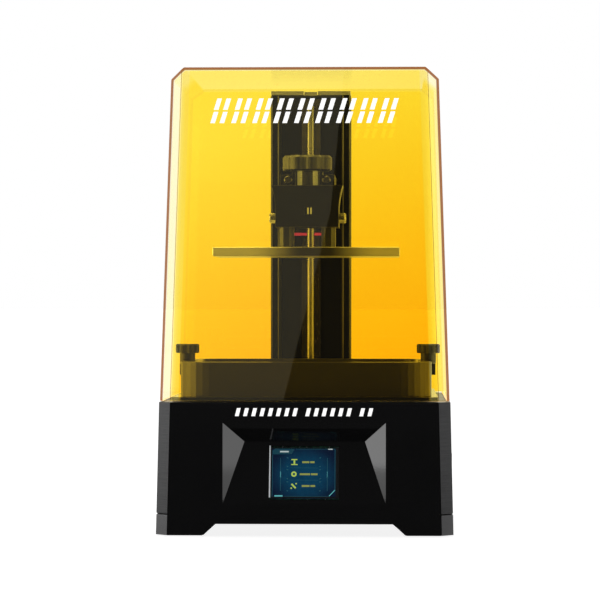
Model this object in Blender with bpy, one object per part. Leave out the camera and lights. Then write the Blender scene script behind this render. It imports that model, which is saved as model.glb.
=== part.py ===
"""Desktop resin printer, modelled as the pieces it comes apart into.

A box-shaped base holds the light source, the masking screen and a tilted touch screen. A tower
behind the vat carries a build plate on a screw-driven carriage, and a tapered amber cover lifts
off over all of it. Sizes are in millimetres and become metres where a mesh is made. +X points to
the right of a person who faces the touch screen, +Y away from them and +Z up. The origin is the
centre of the footprint on the floor.
"""

import math

import bmesh
import bpy
from mathutils import Matrix, Vector

MM = 0.001
GAP = 0.3  # between neighbouring pieces

# Base
BASE_HALF_X = 135.0
BASE_HALF_Y = 145.0
BASE_TOP = 121.0
BASE_TAPER = 2.75  # each side leans in by this much from floor to top
BASE_CORNER = 11.0  # leg of the 45 degree corner facets
WALL = 3.0
SEAM = 20.0  # height where the tray ends and the shell begins
SEAM_BEVEL = 0.8  # leg of the small bevels that make the seam a groove
TRAY_BOTTOM = 1.0
TRAY_FLOOR = 14.0
TUNNEL_HALF_WIDTH = 92.4  # trapezoid cut-out under the base, at the floor
TUNNEL_TOP_HALF_WIDTH = 80.0
TUNNEL_TOP = 11.3
FOOT_X = 114.0
FOOT_Y = 122.0
FOOT_RADIUS = 8.0
FOOT_HEIGHT = 3.5

# Recess of the front panel and the touch screen in it
RECESS_HALF_WIDTH = 73.7
RECESS_LOW = 29.0
RECESS_HIGH = 102.6
RECESS_INNER_HALF_WIDTH = 54.8
RECESS_INNER_HEIGHT = 85.0
RECESS_DEPTH = 17.0
SCREEN_WIDTH = 63.0
SCREEN_HEIGHT = 50.0
SCREEN_CENTRE_Z = 57.0

# Deck
DECK_LOW = BASE_TOP + GAP
DECK_HIGH = DECK_LOW + 4.0
DECK_HALF_X = 121.0
DECK_HALF_Y = 131.0
DECK_CORNER = 8.0
PILOT_RADIUS = 11.0  # raised ring that centres the motor in the deck

# Everything that the light passes through is centred on this line
OPTICS_Y = -35.0
GLASS_HALF_X = 87.0
GLASS_HALF_Y = 57.0
LIGHT_BOARD_HALF_X = 50.0
LIGHT_BOARD_HALF_Y = 40.0
LIGHT_BOARD_LOW = 63.7
LIGHT_BOARD_THICKNESS = 1.6

# Tower
TOWER_HALF_X = 39.0
TOWER_FRONT = 59.0
TOWER_BACK = 109.0
FLANGE = 9.3
WEB_FRONT = 84.0
WEB_BACK = 88.0
TOWER_LOW = DECK_HIGH + GAP
TOWER_HIGH = 413.3
CAP_THICKNESS = 3.8
RAIL_HALF_X = 9.7
RAIL_FRONT = 74.0
RAIL_LOW = 130.0
RAIL_HIGH = 411.0

# Lead screw, on the line x = 0, y = SCREW_Y
SCREW_Y = 58.0
SCREW_RADIUS = 4.0
SCREW_LOW = 138.0
SCREW_HIGH = 402.0
MOTOR_HALF = 21.15
MOTOR_LOW = 79.0
MOTOR_HIGH = 117.5
SHAFT_RADIUS = 2.5

# Carriage
BLOCK_HALF_X = 18.6
BLOCK_FRONT = 70.0
BLOCK_BACK = 82.0
BLOCK_LOW = 279.6
BLOCK_HIGH = 321.0
SEAL_THICKNESS = 2.4
ARM_HALF_X = 25.5
ARM_FRONT = -47.0
ARM_LOW = 321.0
ARM_HIGH = 331.0
ARM_ROOT_LOW = 290.0
NUT_LOW = 316.0
SLOT_HALF_WIDTH = 11.3

# Build platform
PLATE_HALF_X = 86.7
PLATE_HALF_Y = 52.5
PLATE_LOW = 254.1
PLATE_HIGH = 262.6
BRACKET_LOW = 281.6
BRACKET_HIGH = ARM_LOW - GAP
BRACKET_TOP_HALF_WIDTH = 33.3
BRACKET_HALF_WIDTH = 29.5
BRACKET_HALF_DEPTH = 25.0
CLAMP_LIP_HIGH = 334.5
KNOB_RADIUS = 23.5
KNOB_LOW = 334.8
KNOB_HIGH = 349.3

# Vat
VAT_HALF_X = 115.7
VAT_EAR_HALF_X = 120.0
VAT_HALF_Y = 82.0
VAT_CORNER = 28.0
VAT_LOW = DECK_HIGH + GAP
VAT_HIGH = 156.8
VAT_SEAT = 154.0  # height of the ledges that the vat knobs press on
VAT_KNOB_X = 113.4
VAT_KNOB_RADIUS = 11.4
VAT_SCREW_RADIUS = 2.2
FILM_HALF_X = 106.0
FILM_HALF_Y = 72.0

# Cover
COVER_HALF_X = 131.4
COVER_HALF_Y = 141.4
COVER_CORNER = 9.8
COVER_LOW = 122.0
COVER_SHOULDER = 414.7
COVER_HIGH = 425.0
COVER_SLOPE = 9.45 / 291.0  # how far a wall leans in for each millimetre of height
COVER_CHAMFER = 12.0

# Fan behind the rear wall
FAN_X = -60.0
FAN_Z = 70.0
FAN_HALF = 30.0
FAN_FRONT = 124.0
FAN_BACK = 139.0
FAN_BORE = 28.5
FAN_HUB = 11.0
FAN_BLADES = 7

# Sockets and the power switch
SWITCH_Y = -60.0
SWITCH_Z = 60.0
SWITCH_PIVOT_X = 129.5
SWITCH_TILT = math.radians(7)
USB_Y = -95.0
INLET_X = 100.0
SOCKET_Z = 60.0


# ---- Drawing helpers -------------------------------------------------------------------------


def paint(name, colour, roughness, metallic=0.0, alpha=1.0):
    """A material with one plain Principled surface."""
    material = bpy.data.materials.new(name)
    material.use_nodes = True
    surface = material.node_tree.nodes["Principled BSDF"]
    surface.inputs["Base Color"].default_value = (*colour, 1.0)
    surface.inputs["Roughness"].default_value = roughness
    surface.inputs["Metallic"].default_value = metallic
    surface.inputs["Alpha"].default_value = alpha
    material.diffuse_color = (*colour, alpha)
    return material


def make_object(name, points, faces, material=None, at=(0, 0, 0), turn=(0, 0, 0)):
    """A mesh object from points in millimetres, shaded smooth apart from its sharp edges."""
    mesh = bpy.data.meshes.new(name)
    mesh.from_pydata([[MM * value for value in point] for point in points], [], faces)
    mesh.shade_smooth()
    mesh.set_sharp_from_angle(angle=math.radians(35))
    if material:
        mesh.materials.append(material)
    piece = bpy.data.objects.new(name, mesh)
    piece.location = [MM * value for value in at]
    piece.rotation_euler = turn
    bpy.context.collection.objects.link(piece)
    return piece


def loft(name, rings, material=None, ring_shaped=False, at=(0, 0, 0), turn=(0, 0, 0)):
    """A solid skinned over rings of points, each counter-clockwise from above, from low to high.

    A ring-shaped one joins its last ring to its first and has no end caps.
    """
    count = len(rings[0])
    points = [point for ring in rings for point in ring]
    pairs = [(level, level + 1) for level in range(len(rings) - 1)]
    if ring_shaped:
        pairs.append((len(rings) - 1, 0))
    faces = []
    for low, high in pairs:
        for step in range(count):
            after = (step + 1) % count
            low_edge = (low * count + step, low * count + after)
            faces.append((*low_edge, high * count + after, high * count + step))
    if not ring_shaped:
        faces.append(tuple(reversed(range(count))))
        faces.append(tuple(range(len(points) - count, len(points))))
    return make_object(name, points, faces, material, at, turn)


def raised(outline, height):
    """An outline of x, y points lifted to a height."""
    return [(x, y, height) for x, y in outline]


def slab(name, outline, low, high, material=None, at=(0, 0, 0), turn=(0, 0, 0)):
    """An upright prism on an outline."""
    return loft(name, [raised(outline, low), raised(outline, high)], material, at=at, turn=turn)


def block(name, x, y, z, material=None):
    """A box between two limits on each axis, with its origin at its centre."""
    centre = [sum(limits) / 2 for limits in (x, y, z)]
    half = [(limits[1] - limits[0]) / 2 for limits in (x, y, z)]
    return slab(name, rectangle(half[0], half[1]), -half[2], half[2], material, at=centre)


def rectangle(half_x, half_y):
    return [(-half_x, -half_y), (half_x, -half_y), (half_x, half_y), (-half_x, half_y)]


def octagon(half_x, half_y, leg):
    """A rectangle with its corners cut off at 45 degrees."""
    return [
        (half_x, -half_y + leg),
        (half_x, half_y - leg),
        (half_x - leg, half_y),
        (-half_x + leg, half_y),
        (-half_x, half_y - leg),
        (-half_x, -half_y + leg),
        (-half_x + leg, -half_y),
        (half_x - leg, -half_y),
    ]


def rounded_rectangle(half_x, half_y, radius, steps=7):
    outline = []
    corners = [(1, -1, -90), (1, 1, 0), (-1, 1, 90), (-1, -1, 180)]
    for side_x, side_y, start in corners:
        for step in range(steps + 1):
            angle = math.radians(start + 90 * step / steps)
            x = side_x * (half_x - radius) + radius * math.cos(angle)
            y = side_y * (half_y - radius) + radius * math.sin(angle)
            outline.append((x, y))
    return outline


def circle(radius, steps=32):
    angles = [2 * math.pi * step / steps for step in range(steps)]
    return [(radius * math.cos(angle), radius * math.sin(angle)) for angle in angles]


def scallops(radius, depth, lobes, phase, steps_per_lobe=10):
    """The outline of a hand knob: a circle with rounded grooves for the fingers."""
    outline = []
    count = lobes * steps_per_lobe
    for step in range(count):
        angle = 2 * math.pi * step / count
        groove = (0.5 + 0.5 * math.cos(lobes * (angle - phase))) ** 2
        reach = radius - depth * groove
        outline.append((reach * math.cos(angle), reach * math.sin(angle)))
    return outline


def turned(name, profile, material=None, steps=32, at=(0, 0, 0), turn=(0, 0, 0), bored=False):
    """A turned solid. Its profile is radius, height pairs, up the outside.

    A bored one's profile goes on down the inside of its hole.
    """
    rings = [raised(circle(radius, steps), height) for radius, height in profile]
    return loft(name, rings, material, bored, at, turn)


def combine(body, tools, operation):
    """Apply an exact boolean with each tool, and remove the tools."""
    for tool in tools:
        modifier = body.modifiers.new(operation.lower(), "BOOLEAN")
        modifier.operation = operation
        modifier.object = tool
    bpy.context.view_layer.update()
    depsgraph = bpy.context.evaluated_depsgraph_get()
    mesh = bpy.data.meshes.new_from_object(body.evaluated_get(depsgraph))
    body.modifiers.clear()
    body.data = mesh
    mesh.shade_smooth()
    mesh.set_sharp_from_angle(angle=math.radians(35))
    for tool in tools:
        bpy.data.objects.remove(tool)
    return body


def cut(body, *tools):
    return combine(body, tools, "DIFFERENCE")


def join(body, *tools):
    return combine(body, tools, "UNION")


def soften(piece, width, segments=1):
    """Break a piece's edges with a live bevel."""
    bevel = piece.modifiers.new("edge_break", "BEVEL")
    bevel.width = width * MM
    bevel.segments = segments
    bevel.limit_method = "ANGLE"
    bevel.angle_limit = math.radians(50)
    return piece


def studded_plate(name, half_x, half_y, low, thickness, stud, columns, rows, material):
    """A plate with a grid of square studs on top, drawn out of the plate's own faces."""
    mesh = bmesh.new()
    scale = Matrix.Diagonal((2 * half_x * MM, 2 * half_y * MM, thickness * MM, 1))
    bmesh.ops.create_cube(mesh, size=1, matrix=scale)
    edges_x = [edge for edge in mesh.edges if runs_along(edge, 0)]
    bmesh.ops.subdivide_edges(mesh, edges=edges_x, cuts=columns - 1, use_grid_fill=True)
    edges_y = [edge for edge in mesh.edges if runs_along(edge, 1)]
    bmesh.ops.subdivide_edges(mesh, edges=edges_y, cuts=rows - 1, use_grid_fill=True)
    tops = [face for face in mesh.faces if face.normal.z > 0.9]
    cell = 2 * half_x / columns
    bmesh.ops.inset_individual(mesh, faces=tops, thickness=0.3 * cell * MM)
    risen = bmesh.ops.extrude_discrete_faces(mesh, faces=tops)["faces"]
    for face in risen:
        bmesh.ops.translate(mesh, verts=face.verts, vec=(0, 0, stud * MM))
    data = bpy.data.meshes.new(name)
    mesh.to_mesh(data)
    mesh.free()
    data.materials.append(material)
    piece = bpy.data.objects.new(name, data)
    piece.location = (0, OPTICS_Y * MM, (low + thickness / 2) * MM)
    bpy.context.collection.objects.link(piece)
    return piece


def runs_along(edge, axis):
    span = edge.verts[1].co - edge.verts[0].co
    return abs(span[axis]) > 0.9 * span.length


# ---- Base ------------------------------------------------------------------------------------


def base_ring(height, inset=0.0):
    """The base's eight-sided outline at a height, moved in by a wall's thickness."""
    lean = BASE_TAPER * height / BASE_TOP
    leg = BASE_CORNER - inset * (2 - math.sqrt(2))
    return raised(octagon(BASE_HALF_X - lean - inset, BASE_HALF_Y - lean - inset, leg), height)


def front_y(height):
    """Where the base's leaning front face is at a height."""
    return -BASE_HALF_Y + BASE_TAPER * height / BASE_TOP


def front_half_width(height):
    """Half the width of the front face between its corner facets."""
    return BASE_HALF_X - BASE_CORNER - BASE_TAPER * height / BASE_TOP


def foot_places():
    """Left and right, front and rear."""
    sides = (("left", -FOOT_X), ("right", FOOT_X))
    ends = (("front", -FOOT_Y), ("rear", FOOT_Y))
    return [(f"foot_{end}_{side}", x, y) for end, y in ends for side, x in sides]


def bottom_tray(material):
    high = SEAM - GAP
    rings = [base_ring(TRAY_BOTTOM), base_ring(high - SEAM_BEVEL), base_ring(high, SEAM_BEVEL)]
    tray = loft("bottom_tray", rings, material)
    pocket = loft("pocket", [base_ring(TRAY_FLOOR, WALL), base_ring(SEAM + 1, WALL)])
    tunnel_profile = [
        (-TUNNEL_HALF_WIDTH, 0),
        (TUNNEL_HALF_WIDTH, 0),
        (TUNNEL_TOP_HALF_WIDTH, TUNNEL_TOP),
        (-TUNNEL_TOP_HALF_WIDTH, TUNNEL_TOP),
    ]
    reach = BASE_HALF_Y + 5
    tunnel = slab("tunnel", tunnel_profile, -reach, reach, turn=(math.pi / 2, 0, 0))
    side_pockets = []
    for side in (-1, 1):
        x = sorted((side * (TUNNEL_HALF_WIDTH + WALL), side * (BASE_HALF_X - 2 * WALL)))
        y = (-FOOT_Y + FOOT_RADIUS + WALL, FOOT_Y - FOOT_RADIUS - WALL)
        side_pockets.append(block("side_pocket", x, y, (TRAY_BOTTOM + WALL, TRAY_FLOOR + 1)))
    sockets = []
    for _name, x, y in foot_places():
        outline = circle(FOOT_RADIUS + GAP, 24)
        sockets.append(slab("socket", outline, -1, FOOT_HEIGHT + GAP, at=(x, y, 0)))
    cut(tray, pocket, tunnel, front_opening(), *side_pockets, *sockets)
    posts = []
    for x in (-70, 70):
        for y in (90, 128):
            posts.append(slab("post", circle(3, 12), TRAY_FLOOR - 1, SEAM - GAP, at=(x, y, 0)))
    return join(tray, *posts)


def feet(material):
    profile = [(FOOT_RADIUS - 1, 0), (FOOT_RADIUS, 1), (FOOT_RADIUS, FOOT_HEIGHT)]
    return [turned(name, profile, material, 24, at=(x, y, 0)) for name, x, y in foot_places()]


def front_opening():
    """The leaning slot across the tray's and shell's front that the front panel fills."""
    rings = []
    for height in (-1, BASE_TOP + 1):
        half_width = front_half_width(height) + GAP
        back = front_y(height) + WALL + GAP
        outline = [
            (-half_width, -BASE_HALF_Y - 5),
            (half_width, -BASE_HALF_Y - 5),
            (half_width, back),
            (-half_width, back),
        ]
        rings.append(raised(outline, height))
    return loft("front_opening", rings)


def rear_vents():
    """Level slots in the rear wall, in front of the fan."""
    x = (FAN_X - 24, FAN_X + 24)
    y = (BASE_HALF_Y - 8, BASE_HALF_Y + 5)
    heights = [FAN_Z + 7 * step for step in range(-3, 4)]
    return [block("vent", x, y, (height - 1.6, height + 1.6)) for height in heights]


def base_shell(material):
    rings = [base_ring(SEAM, SEAM_BEVEL), base_ring(SEAM + SEAM_BEVEL), base_ring(BASE_TOP)]
    shell = loft("base_shell", rings, material)
    hollow = loft("hollow", [base_ring(SEAM - 1, WALL), base_ring(BASE_TOP - WALL, WALL)])
    window_y = (OPTICS_Y - GLASS_HALF_Y - 1, OPTICS_Y + GLASS_HALF_Y + 1)
    top_z = (BASE_TOP - 5, BASE_TOP + 5)
    window = block("window", (-GLASS_HALF_X - 1, GLASS_HALF_X + 1), window_y, top_z)
    wall_x = (BASE_HALF_X - 8, BASE_HALF_X + 5)
    switch_hole = block(
        "switch_hole",
        wall_x,
        (SWITCH_Y - 6.6 - GAP, SWITCH_Y + 6.6 + GAP),
        (SWITCH_Z - 9.6 - GAP, SWITCH_Z + 9.6 + GAP),
    )
    usb_hole = block(
        "usb_hole",
        wall_x,
        (USB_Y - 7.2 - GAP, USB_Y + 7.2 + GAP),
        (SOCKET_Z - 3.6 - GAP, SOCKET_Z + 3.6 + GAP),
    )
    inlet_hole = slab(
        "inlet_hole",
        circle(5.5 + GAP, 24),
        -15,
        15,
        at=(INLET_X, BASE_HALF_Y, SOCKET_Z),
        turn=(math.pi / 2, 0, 0),
    )
    return cut(
        shell,
        hollow,
        front_opening(),
        window,
        pilot_hole(),
        *knob_screw_holes(),
        switch_hole,
        usb_hole,
        inlet_hole,
        *rear_vents(),
    )


def pilot_hole():
    return slab("pilot_hole", circle(PILOT_RADIUS + GAP), 100, 140, at=(0, SCREW_Y, 0))


def knob_screw_holes():
    """Clearance holes for the two screws that hold the vat down."""
    places = [(side * VAT_KNOB_X, OPTICS_Y, 0) for side in (-1, 1)]
    outline = circle(VAT_SCREW_RADIUS + 0.4, 16)
    return [slab("screw_hole", outline, 100, VAT_HIGH + 5, at=place) for place in places]


def front_panel_points(offset):
    """The corners of the panel's outline, its recess and the recess floor, moved back."""
    low_width = front_half_width(TRAY_BOTTOM)
    high = BASE_TOP - GAP
    outline = [
        (-low_width, TRAY_BOTTOM),
        (-TUNNEL_HALF_WIDTH, TRAY_BOTTOM),
        (-TUNNEL_TOP_HALF_WIDTH, TUNNEL_TOP),
        (TUNNEL_TOP_HALF_WIDTH, TUNNEL_TOP),
        (TUNNEL_HALF_WIDTH, TRAY_BOTTOM),
        (low_width, TRAY_BOTTOM),
        (front_half_width(high), high),
        (-front_half_width(high), high),
        (-RECESS_HALF_WIDTH, RECESS_LOW),
        (RECESS_HALF_WIDTH, RECESS_LOW),
        (RECESS_HALF_WIDTH, RECESS_HIGH),
        (-RECESS_HALF_WIDTH, RECESS_HIGH),
    ]
    corners = [(x, front_y(z) + offset, z) for x, z in outline]
    floor_y = front_y(RECESS_LOW) + RECESS_DEPTH + offset
    for side in (1, -1):
        corners.append((side * RECESS_INNER_HALF_WIDTH, floor_y, RECESS_INNER_HEIGHT))
    return corners


def front_panel(material):
    """The glossy front: a flat frame around a recess with a tilted floor and leaning sides."""
    front = [
        (0, 1, 2, 3, 4, 5, 9, 8),
        (5, 6, 10, 9),
        (6, 7, 11, 10),
        (7, 0, 8, 11),
        (8, 9, 12, 13),
        (9, 10, 12),
        (10, 11, 13, 12),
        (11, 8, 13),
    ]
    points = front_panel_points(0) + front_panel_points(WALL)
    count = len(points) // 2
    back = [tuple(count + corner for corner in reversed(face)) for face in front]
    rim = []
    for corner in range(8):
        after = (corner + 1) % 8
        rim.append((after, corner, count + corner, count + after))
    panel = make_object("front_panel", points, front + back + rim, material)
    opening = screen_slab("opening", SCREEN_WIDTH, SCREEN_HEIGHT, -6, 6)
    return cut(panel, opening)


def screen_slab(name, width, height, front, back, material=None):
    """A slab parallel to the recess floor, from one depth behind its surface to another."""
    rise = RECESS_INNER_HEIGHT - RECESS_LOW
    tilt = math.atan2(RECESS_DEPTH, rise)
    centre_y = front_y(RECESS_LOW) + RECESS_DEPTH * (SCREEN_CENTRE_Z - RECESS_LOW) / rise
    outline = rectangle(width / 2, height / 2)
    place = (0, centre_y, SCREEN_CENTRE_Z)
    return slab(name, outline, -back, -front, material, at=place, turn=(math.pi / 2 - tilt, 0, 0))


def touch_screen(glass, panel, board):
    fit = 2 * GAP
    screen_slab("touch_glass", SCREEN_WIDTH - fit, SCREEN_HEIGHT - fit, 0.1, 1.3, glass)
    screen_slab("display_panel", SCREEN_WIDTH - 4, SCREEN_HEIGHT - 4, 1.6, 3.0, panel)
    screen_slab("display_board", SCREEN_WIDTH + 8, SCREEN_HEIGHT + 6, 3.5, 5.1, board)


def display_ribbon(material):
    """A flat cable from the touch screen's board, down and back under the light source."""
    thickness = 0.8
    # each corner's y and z, and which way the bend leans its upper side
    path = [(-115.5, 50, 0), (-112, 50, 1), (-112, 16, 1), (70, 16, -1), (70, 24, -1), (83, 24, 0)]
    profile = [(y, z) for y, z, lean in path]
    profile += [(y + lean * thickness, z + thickness) for y, z, lean in reversed(path)]
    rings = [[(x, y, z) for y, z in profile] for x in (-16, -4)]
    return loft("display_ribbon", rings, material)


def deck_plate(material):
    outline = octagon(DECK_HALF_X, DECK_HALF_Y, DECK_CORNER)
    deck = slab("deck_plate", outline, DECK_LOW, DECK_HIGH, material)
    place = (0, OPTICS_Y, 0)
    window = slab("window", rectangle(82, 51.2), DECK_LOW - 1, DECK_HIGH + 1, at=place)
    pocket_outline = rectangle(GLASS_HALF_X + GAP, GLASS_HALF_Y + GAP)
    pocket = slab("pocket", pocket_outline, DECK_HIGH - 1.3, DECK_HIGH + 1, at=place)
    return cut(deck, window, pocket, pilot_hole(), *knob_screw_holes())


def optics(glass, screen, housing, lens, board):
    """What the light passes through, from the cover glass down to the lamps."""
    place = (0, OPTICS_Y, 0)
    glass_outline = rectangle(GLASS_HALF_X, GLASS_HALF_Y)
    slab("lcd_cover_glass", glass_outline, DECK_HIGH - 1, DECK_HIGH, glass, at=place)
    slab("mask_lcd", rectangle(86, 56), BASE_TOP - 2, BASE_TOP - 0.1, screen, at=place)
    low, high = 66.0, 117.5
    rings = [
        raised(rectangle(50, 40), low),
        raised(rectangle(88, 58), high),
        raised(rectangle(86, 56), high),
        raised(rectangle(48, 38), low),
    ]
    loft("light_housing", rings, housing, ring_shaped=True, at=place)
    studded_plate("lens_array", 42, 33, 67.8, 2.0, 2.5, 7, 4, lens)
    studded_plate(
        "uv_led_board",
        LIGHT_BOARD_HALF_X,
        LIGHT_BOARD_HALF_Y,
        LIGHT_BOARD_LOW,
        LIGHT_BOARD_THICKNESS,
        1.8,
        7,
        4,
        board,
    )


def heat_sink(material):
    """A comb of fins under the lamps."""
    top = LIGHT_BOARD_LOW - GAP
    root = top - 6
    tip = 36.0
    fins = 9
    pitch = 2 * LIGHT_BOARD_HALF_X / (fins - 0.5)
    profile = [(LIGHT_BOARD_HALF_X, top), (-LIGHT_BOARD_HALF_X, top)]
    for fin in range(fins):
        left = -LIGHT_BOARD_HALF_X + fin * pitch
        right = left + pitch / 2
        profile += [(left, tip), (right, tip)]
        if fin < fins - 1:
            profile += [(right, root), (left + pitch, root)]
    rings = []
    for y in (OPTICS_Y + LIGHT_BOARD_HALF_Y, OPTICS_Y - LIGHT_BOARD_HALF_Y):
        rings.append([(x, y, z) for x, z in profile])
    return loft("heat_sink", rings, material)


def main_board(material):
    board = block("main_board", (-78, 78), (85, 133), (SEAM, SEAM + 1.6), material)
    chips = []
    for x, y, width, depth, height in (
        (-40, 108, 22, 22, 3),
        (10, 100, 14, 14, 2),
        (45, 105, 18, 24, 9),
        (-10, 127, 60, 8, 7),
    ):
        limits_x = (x - width / 2, x + width / 2)
        limits_y = (y - depth / 2, y + depth / 2)
        chips.append(block("chip", limits_x, limits_y, (SEAM + 1, SEAM + 1.6 + height)))
    return join(board, *chips)


def fan_frame(material):
    outline = rounded_rectangle(FAN_HALF, FAN_HALF, 4, 3)
    depth = FAN_BACK - FAN_FRONT
    facing = {"at": (FAN_X, FAN_FRONT, FAN_Z), "turn": (math.pi / 2, 0, 0)}
    frame = slab("fan_frame", outline, -depth, 0, material, **facing)
    cut(frame, slab("bore", circle(FAN_BORE, 40), -depth - 1, 1, **facing))
    hub = slab("hub", circle(FAN_HUB, 24), -2, 0, **facing)
    struts = []
    for turn in (0.25 * math.pi, 0.75 * math.pi):
        outline = rotated(rectangle(FAN_BORE + 1, 1.5), turn)
        struts.append(slab("strut", outline, -2, 0, **facing))
    return join(frame, hub, *struts)


def rotated(outline, angle):
    cosine = math.cos(angle)
    sine = math.sin(angle)
    return [(x * cosine - y * sine, x * sine + y * cosine) for x, y in outline]


def fan_rotor(material):
    """A hub with pitched blades, with its origin on its axis."""
    facing = {"at": (FAN_X, FAN_FRONT + 9, FAN_Z), "turn": (math.pi / 2, 0, 0)}
    hub_profile = [(FAN_HUB, -5), (FAN_HUB, 5), (FAN_HUB - 1.5, 6)]
    rotor = turned("fan_rotor", hub_profile, material, **facing)
    reach = FAN_BORE - 2.5
    blades = []
    for blade in range(FAN_BLADES):
        angle = 2 * math.pi * blade / FAN_BLADES
        low = rotated([(8, -5), (reach, -8), (reach, -6.2), (8, -3.4)], angle)
        high = rotated([(8, 1.4), (reach, 5), (reach, 6.8), (8, 3)], angle)
        blades.append(loft("blade", [raised(low, -4.5), raised(high, 4.5)], **facing))
    return join(rotor, *blades)


def usb_port(material):
    """A socket's metal sleeve, open to the right."""
    x = (118, 133.2)
    y = (USB_Y - 7.2, USB_Y + 7.2)
    z = (SOCKET_Z - 3.6, SOCKET_Z + 3.6)
    sleeve = block("usb_port", x, y, z, material)
    mouth = block("mouth", (122, 140), (y[0] + 0.8, y[1] - 0.8), (z[0] + 0.8, z[1] - 0.8))
    tongue = block("tongue", (121, 132), (y[0] + 1.5, y[1] - 1.5), (SOCKET_Z, SOCKET_Z + 1.6))
    return join(cut(sleeve, mouth), tongue)


def power_switch_frame(material):
    y = (SWITCH_Y - 6.6, SWITCH_Y + 6.6)
    z = (SWITCH_Z - 9.6, SWITCH_Z + 9.6)
    frame = block("power_switch_frame", (114, 134.5), y, z, material)
    flange = block("flange", (134.0, 134.9), (y[0] - 1.5, y[1] + 1.5), (z[0] - 1.5, z[1] + 1.5))
    join(frame, flange)
    mouth = block("mouth", (123, 140), (y[0] + 1.2, y[1] - 1.2), (z[0] + 1.2, z[1] - 1.2))
    return cut(frame, mouth)


def power_rocker(material):
    """The switch's rocker, tipped to off, with its origin on its pivot."""
    half_length = 7.9
    outline = [(-2.5, -3), (-2.5, 3), (0.5, half_length)]
    for step in range(7):
        z = half_length * (1 - step / 3)
        outline.append((3.1 + 1.0 * (z / half_length) ** 2, z))
    outline.append((0.5, -half_length))
    ring_low = [(x, -5.0, z) for x, z in outline]
    ring_high = [(x, 5.0, z) for x, z in outline]
    place = (SWITCH_PIVOT_X, SWITCH_Y, SWITCH_Z)
    rings = [ring_low, ring_high]
    return loft("power_rocker", rings, material, at=place, turn=(0, -SWITCH_TILT, 0))


def power_inlet(material):
    """A round direct-current socket, open to the rear."""
    profile = [(5.5, -16), (5.5, 0), (7.0, 0), (7.0, 1.0), (3.2, 1.0), (3.2, -12), (1.2, -12)]
    profile += [(1.2, -1), (0.4, -0.5)]
    place = (INLET_X, BASE_HALF_Y - 1.1, SOCKET_Z)
    return turned("power_inlet", profile, material, 24, at=place, turn=(-math.pi / 2, 0, 0))


# ---- Tower and drive -------------------------------------------------------------------------


def tower_column(material):
    """An H-shaped extrusion: two flanges, with the rail's web between them."""
    half = TOWER_HALF_X
    inner = TOWER_HALF_X - FLANGE
    rear_inner = TOWER_HALF_X - 5
    outline = [
        (-half, TOWER_FRONT),
        (-inner, TOWER_FRONT),
        (-inner, WEB_FRONT),
        (inner, WEB_FRONT),
        (inner, TOWER_FRONT),
        (half, TOWER_FRONT),
        (half, TOWER_BACK),
        (rear_inner, TOWER_BACK),
        (rear_inner, WEB_BACK),
        (-rear_inner, WEB_BACK),
        (-rear_inner, TOWER_BACK),
        (-half, TOWER_BACK),
    ]
    return slab("tower_column", outline, TOWER_LOW, TOWER_HIGH, material)


def tower_trim(panel, cap, screw):
    x = (-TOWER_HALF_X + 5 + GAP, TOWER_HALF_X - 5 - GAP)
    block("tower_back_panel", x, (TOWER_BACK - 2.5, TOWER_BACK - 0.5), (TOWER_LOW, TOWER_HIGH), panel)
    low = TOWER_HIGH + GAP
    high = low + CAP_THICKNESS
    y = (TOWER_FRONT, TOWER_BACK)
    lid = block("tower_cap", (-TOWER_HALF_X, TOWER_HALF_X), y, (low, high), cap)
    screw_y = (TOWER_FRONT + TOWER_BACK) / 2
    seats = []
    for side, x in (("left", -34.0), ("right", 34.0)):
        place = (x, screw_y, high)
        seats.append(slab("seat", circle(3.1, 16), -5, 5, at=place))
        profile = [(2.8, -CAP_THICKNESS), (2.8, 0.5), (2.2, 1.0), (1.0, 1.3)]
        turned(f"cap_screw_{side}", profile, screw, 16, at=place)
    notch = block("notch", (-6.5, 6.5), (TOWER_FRONT - 1, TOWER_FRONT + 8), (low - 1, high + 1))
    cut(lid, notch, *seats)


def linear_rail(material):
    x = (-RAIL_HALF_X, RAIL_HALF_X)
    rail = block("linear_rail", x, (RAIL_FRONT, WEB_FRONT - GAP), (RAIL_LOW, RAIL_HIGH), material)
    return soften(rail, 0.6)


def motor(material):
    """A square stepper motor that hangs under the deck, bored for its shaft."""
    outline = octagon(MOTOR_HALF, MOTOR_HALF, 4)
    body = slab("motor_body", outline, MOTOR_LOW, MOTOR_HIGH, material, at=(0, SCREW_Y, 0))
    pilot = slab("pilot", circle(PILOT_RADIUS), MOTOR_HIGH - 1, MOTOR_HIGH + 2, at=(0, SCREW_Y, 0))
    bore = slab("bore", circle(SHAFT_RADIUS + GAP, 16), 96, MOTOR_HIGH + 5, at=(0, SCREW_Y, 0))
    return cut(join(body, pilot), bore)


def lead_screw(screw, coupler, shaft):
    """The pieces that turn together on the screw's axis."""
    place = (0, SCREW_Y, 0)
    tip = SCREW_RADIUS - 0.8
    low, high = SCREW_LOW, SCREW_HIGH
    profile = [(tip, low), (SCREW_RADIUS, low + 1), (SCREW_RADIUS, high - 1), (tip, high)]
    turned("lead_screw", profile, screw, 24, at=place)
    step = SCREW_LOW - 0.5
    coupler_profile = [
        (9.5, 126),
        (9.5, 148),
        (SCREW_RADIUS + GAP, 148),
        (SCREW_RADIUS + GAP, step),
        (SHAFT_RADIUS + GAP, step),
        (SHAFT_RADIUS + GAP, 126),
    ]
    turned("screw_coupler", coupler_profile, coupler, 24, at=place, bored=True)
    slab("motor_shaft", circle(SHAFT_RADIUS, 16), 97, step - 0.5, shaft, at=place)


def home_sensor(material):
    """A light gate low on the tower, with a slot that the carriage's flag drops into."""
    body = block("home_sensor", (20.4, 28.6), (70, WEB_FRONT - GAP), (134, 152), material)
    return cut(body, block("slot", (21.4, 25.2), (60, 80), (140, 160)))


# ---- Carriage --------------------------------------------------------------------------------


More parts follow.
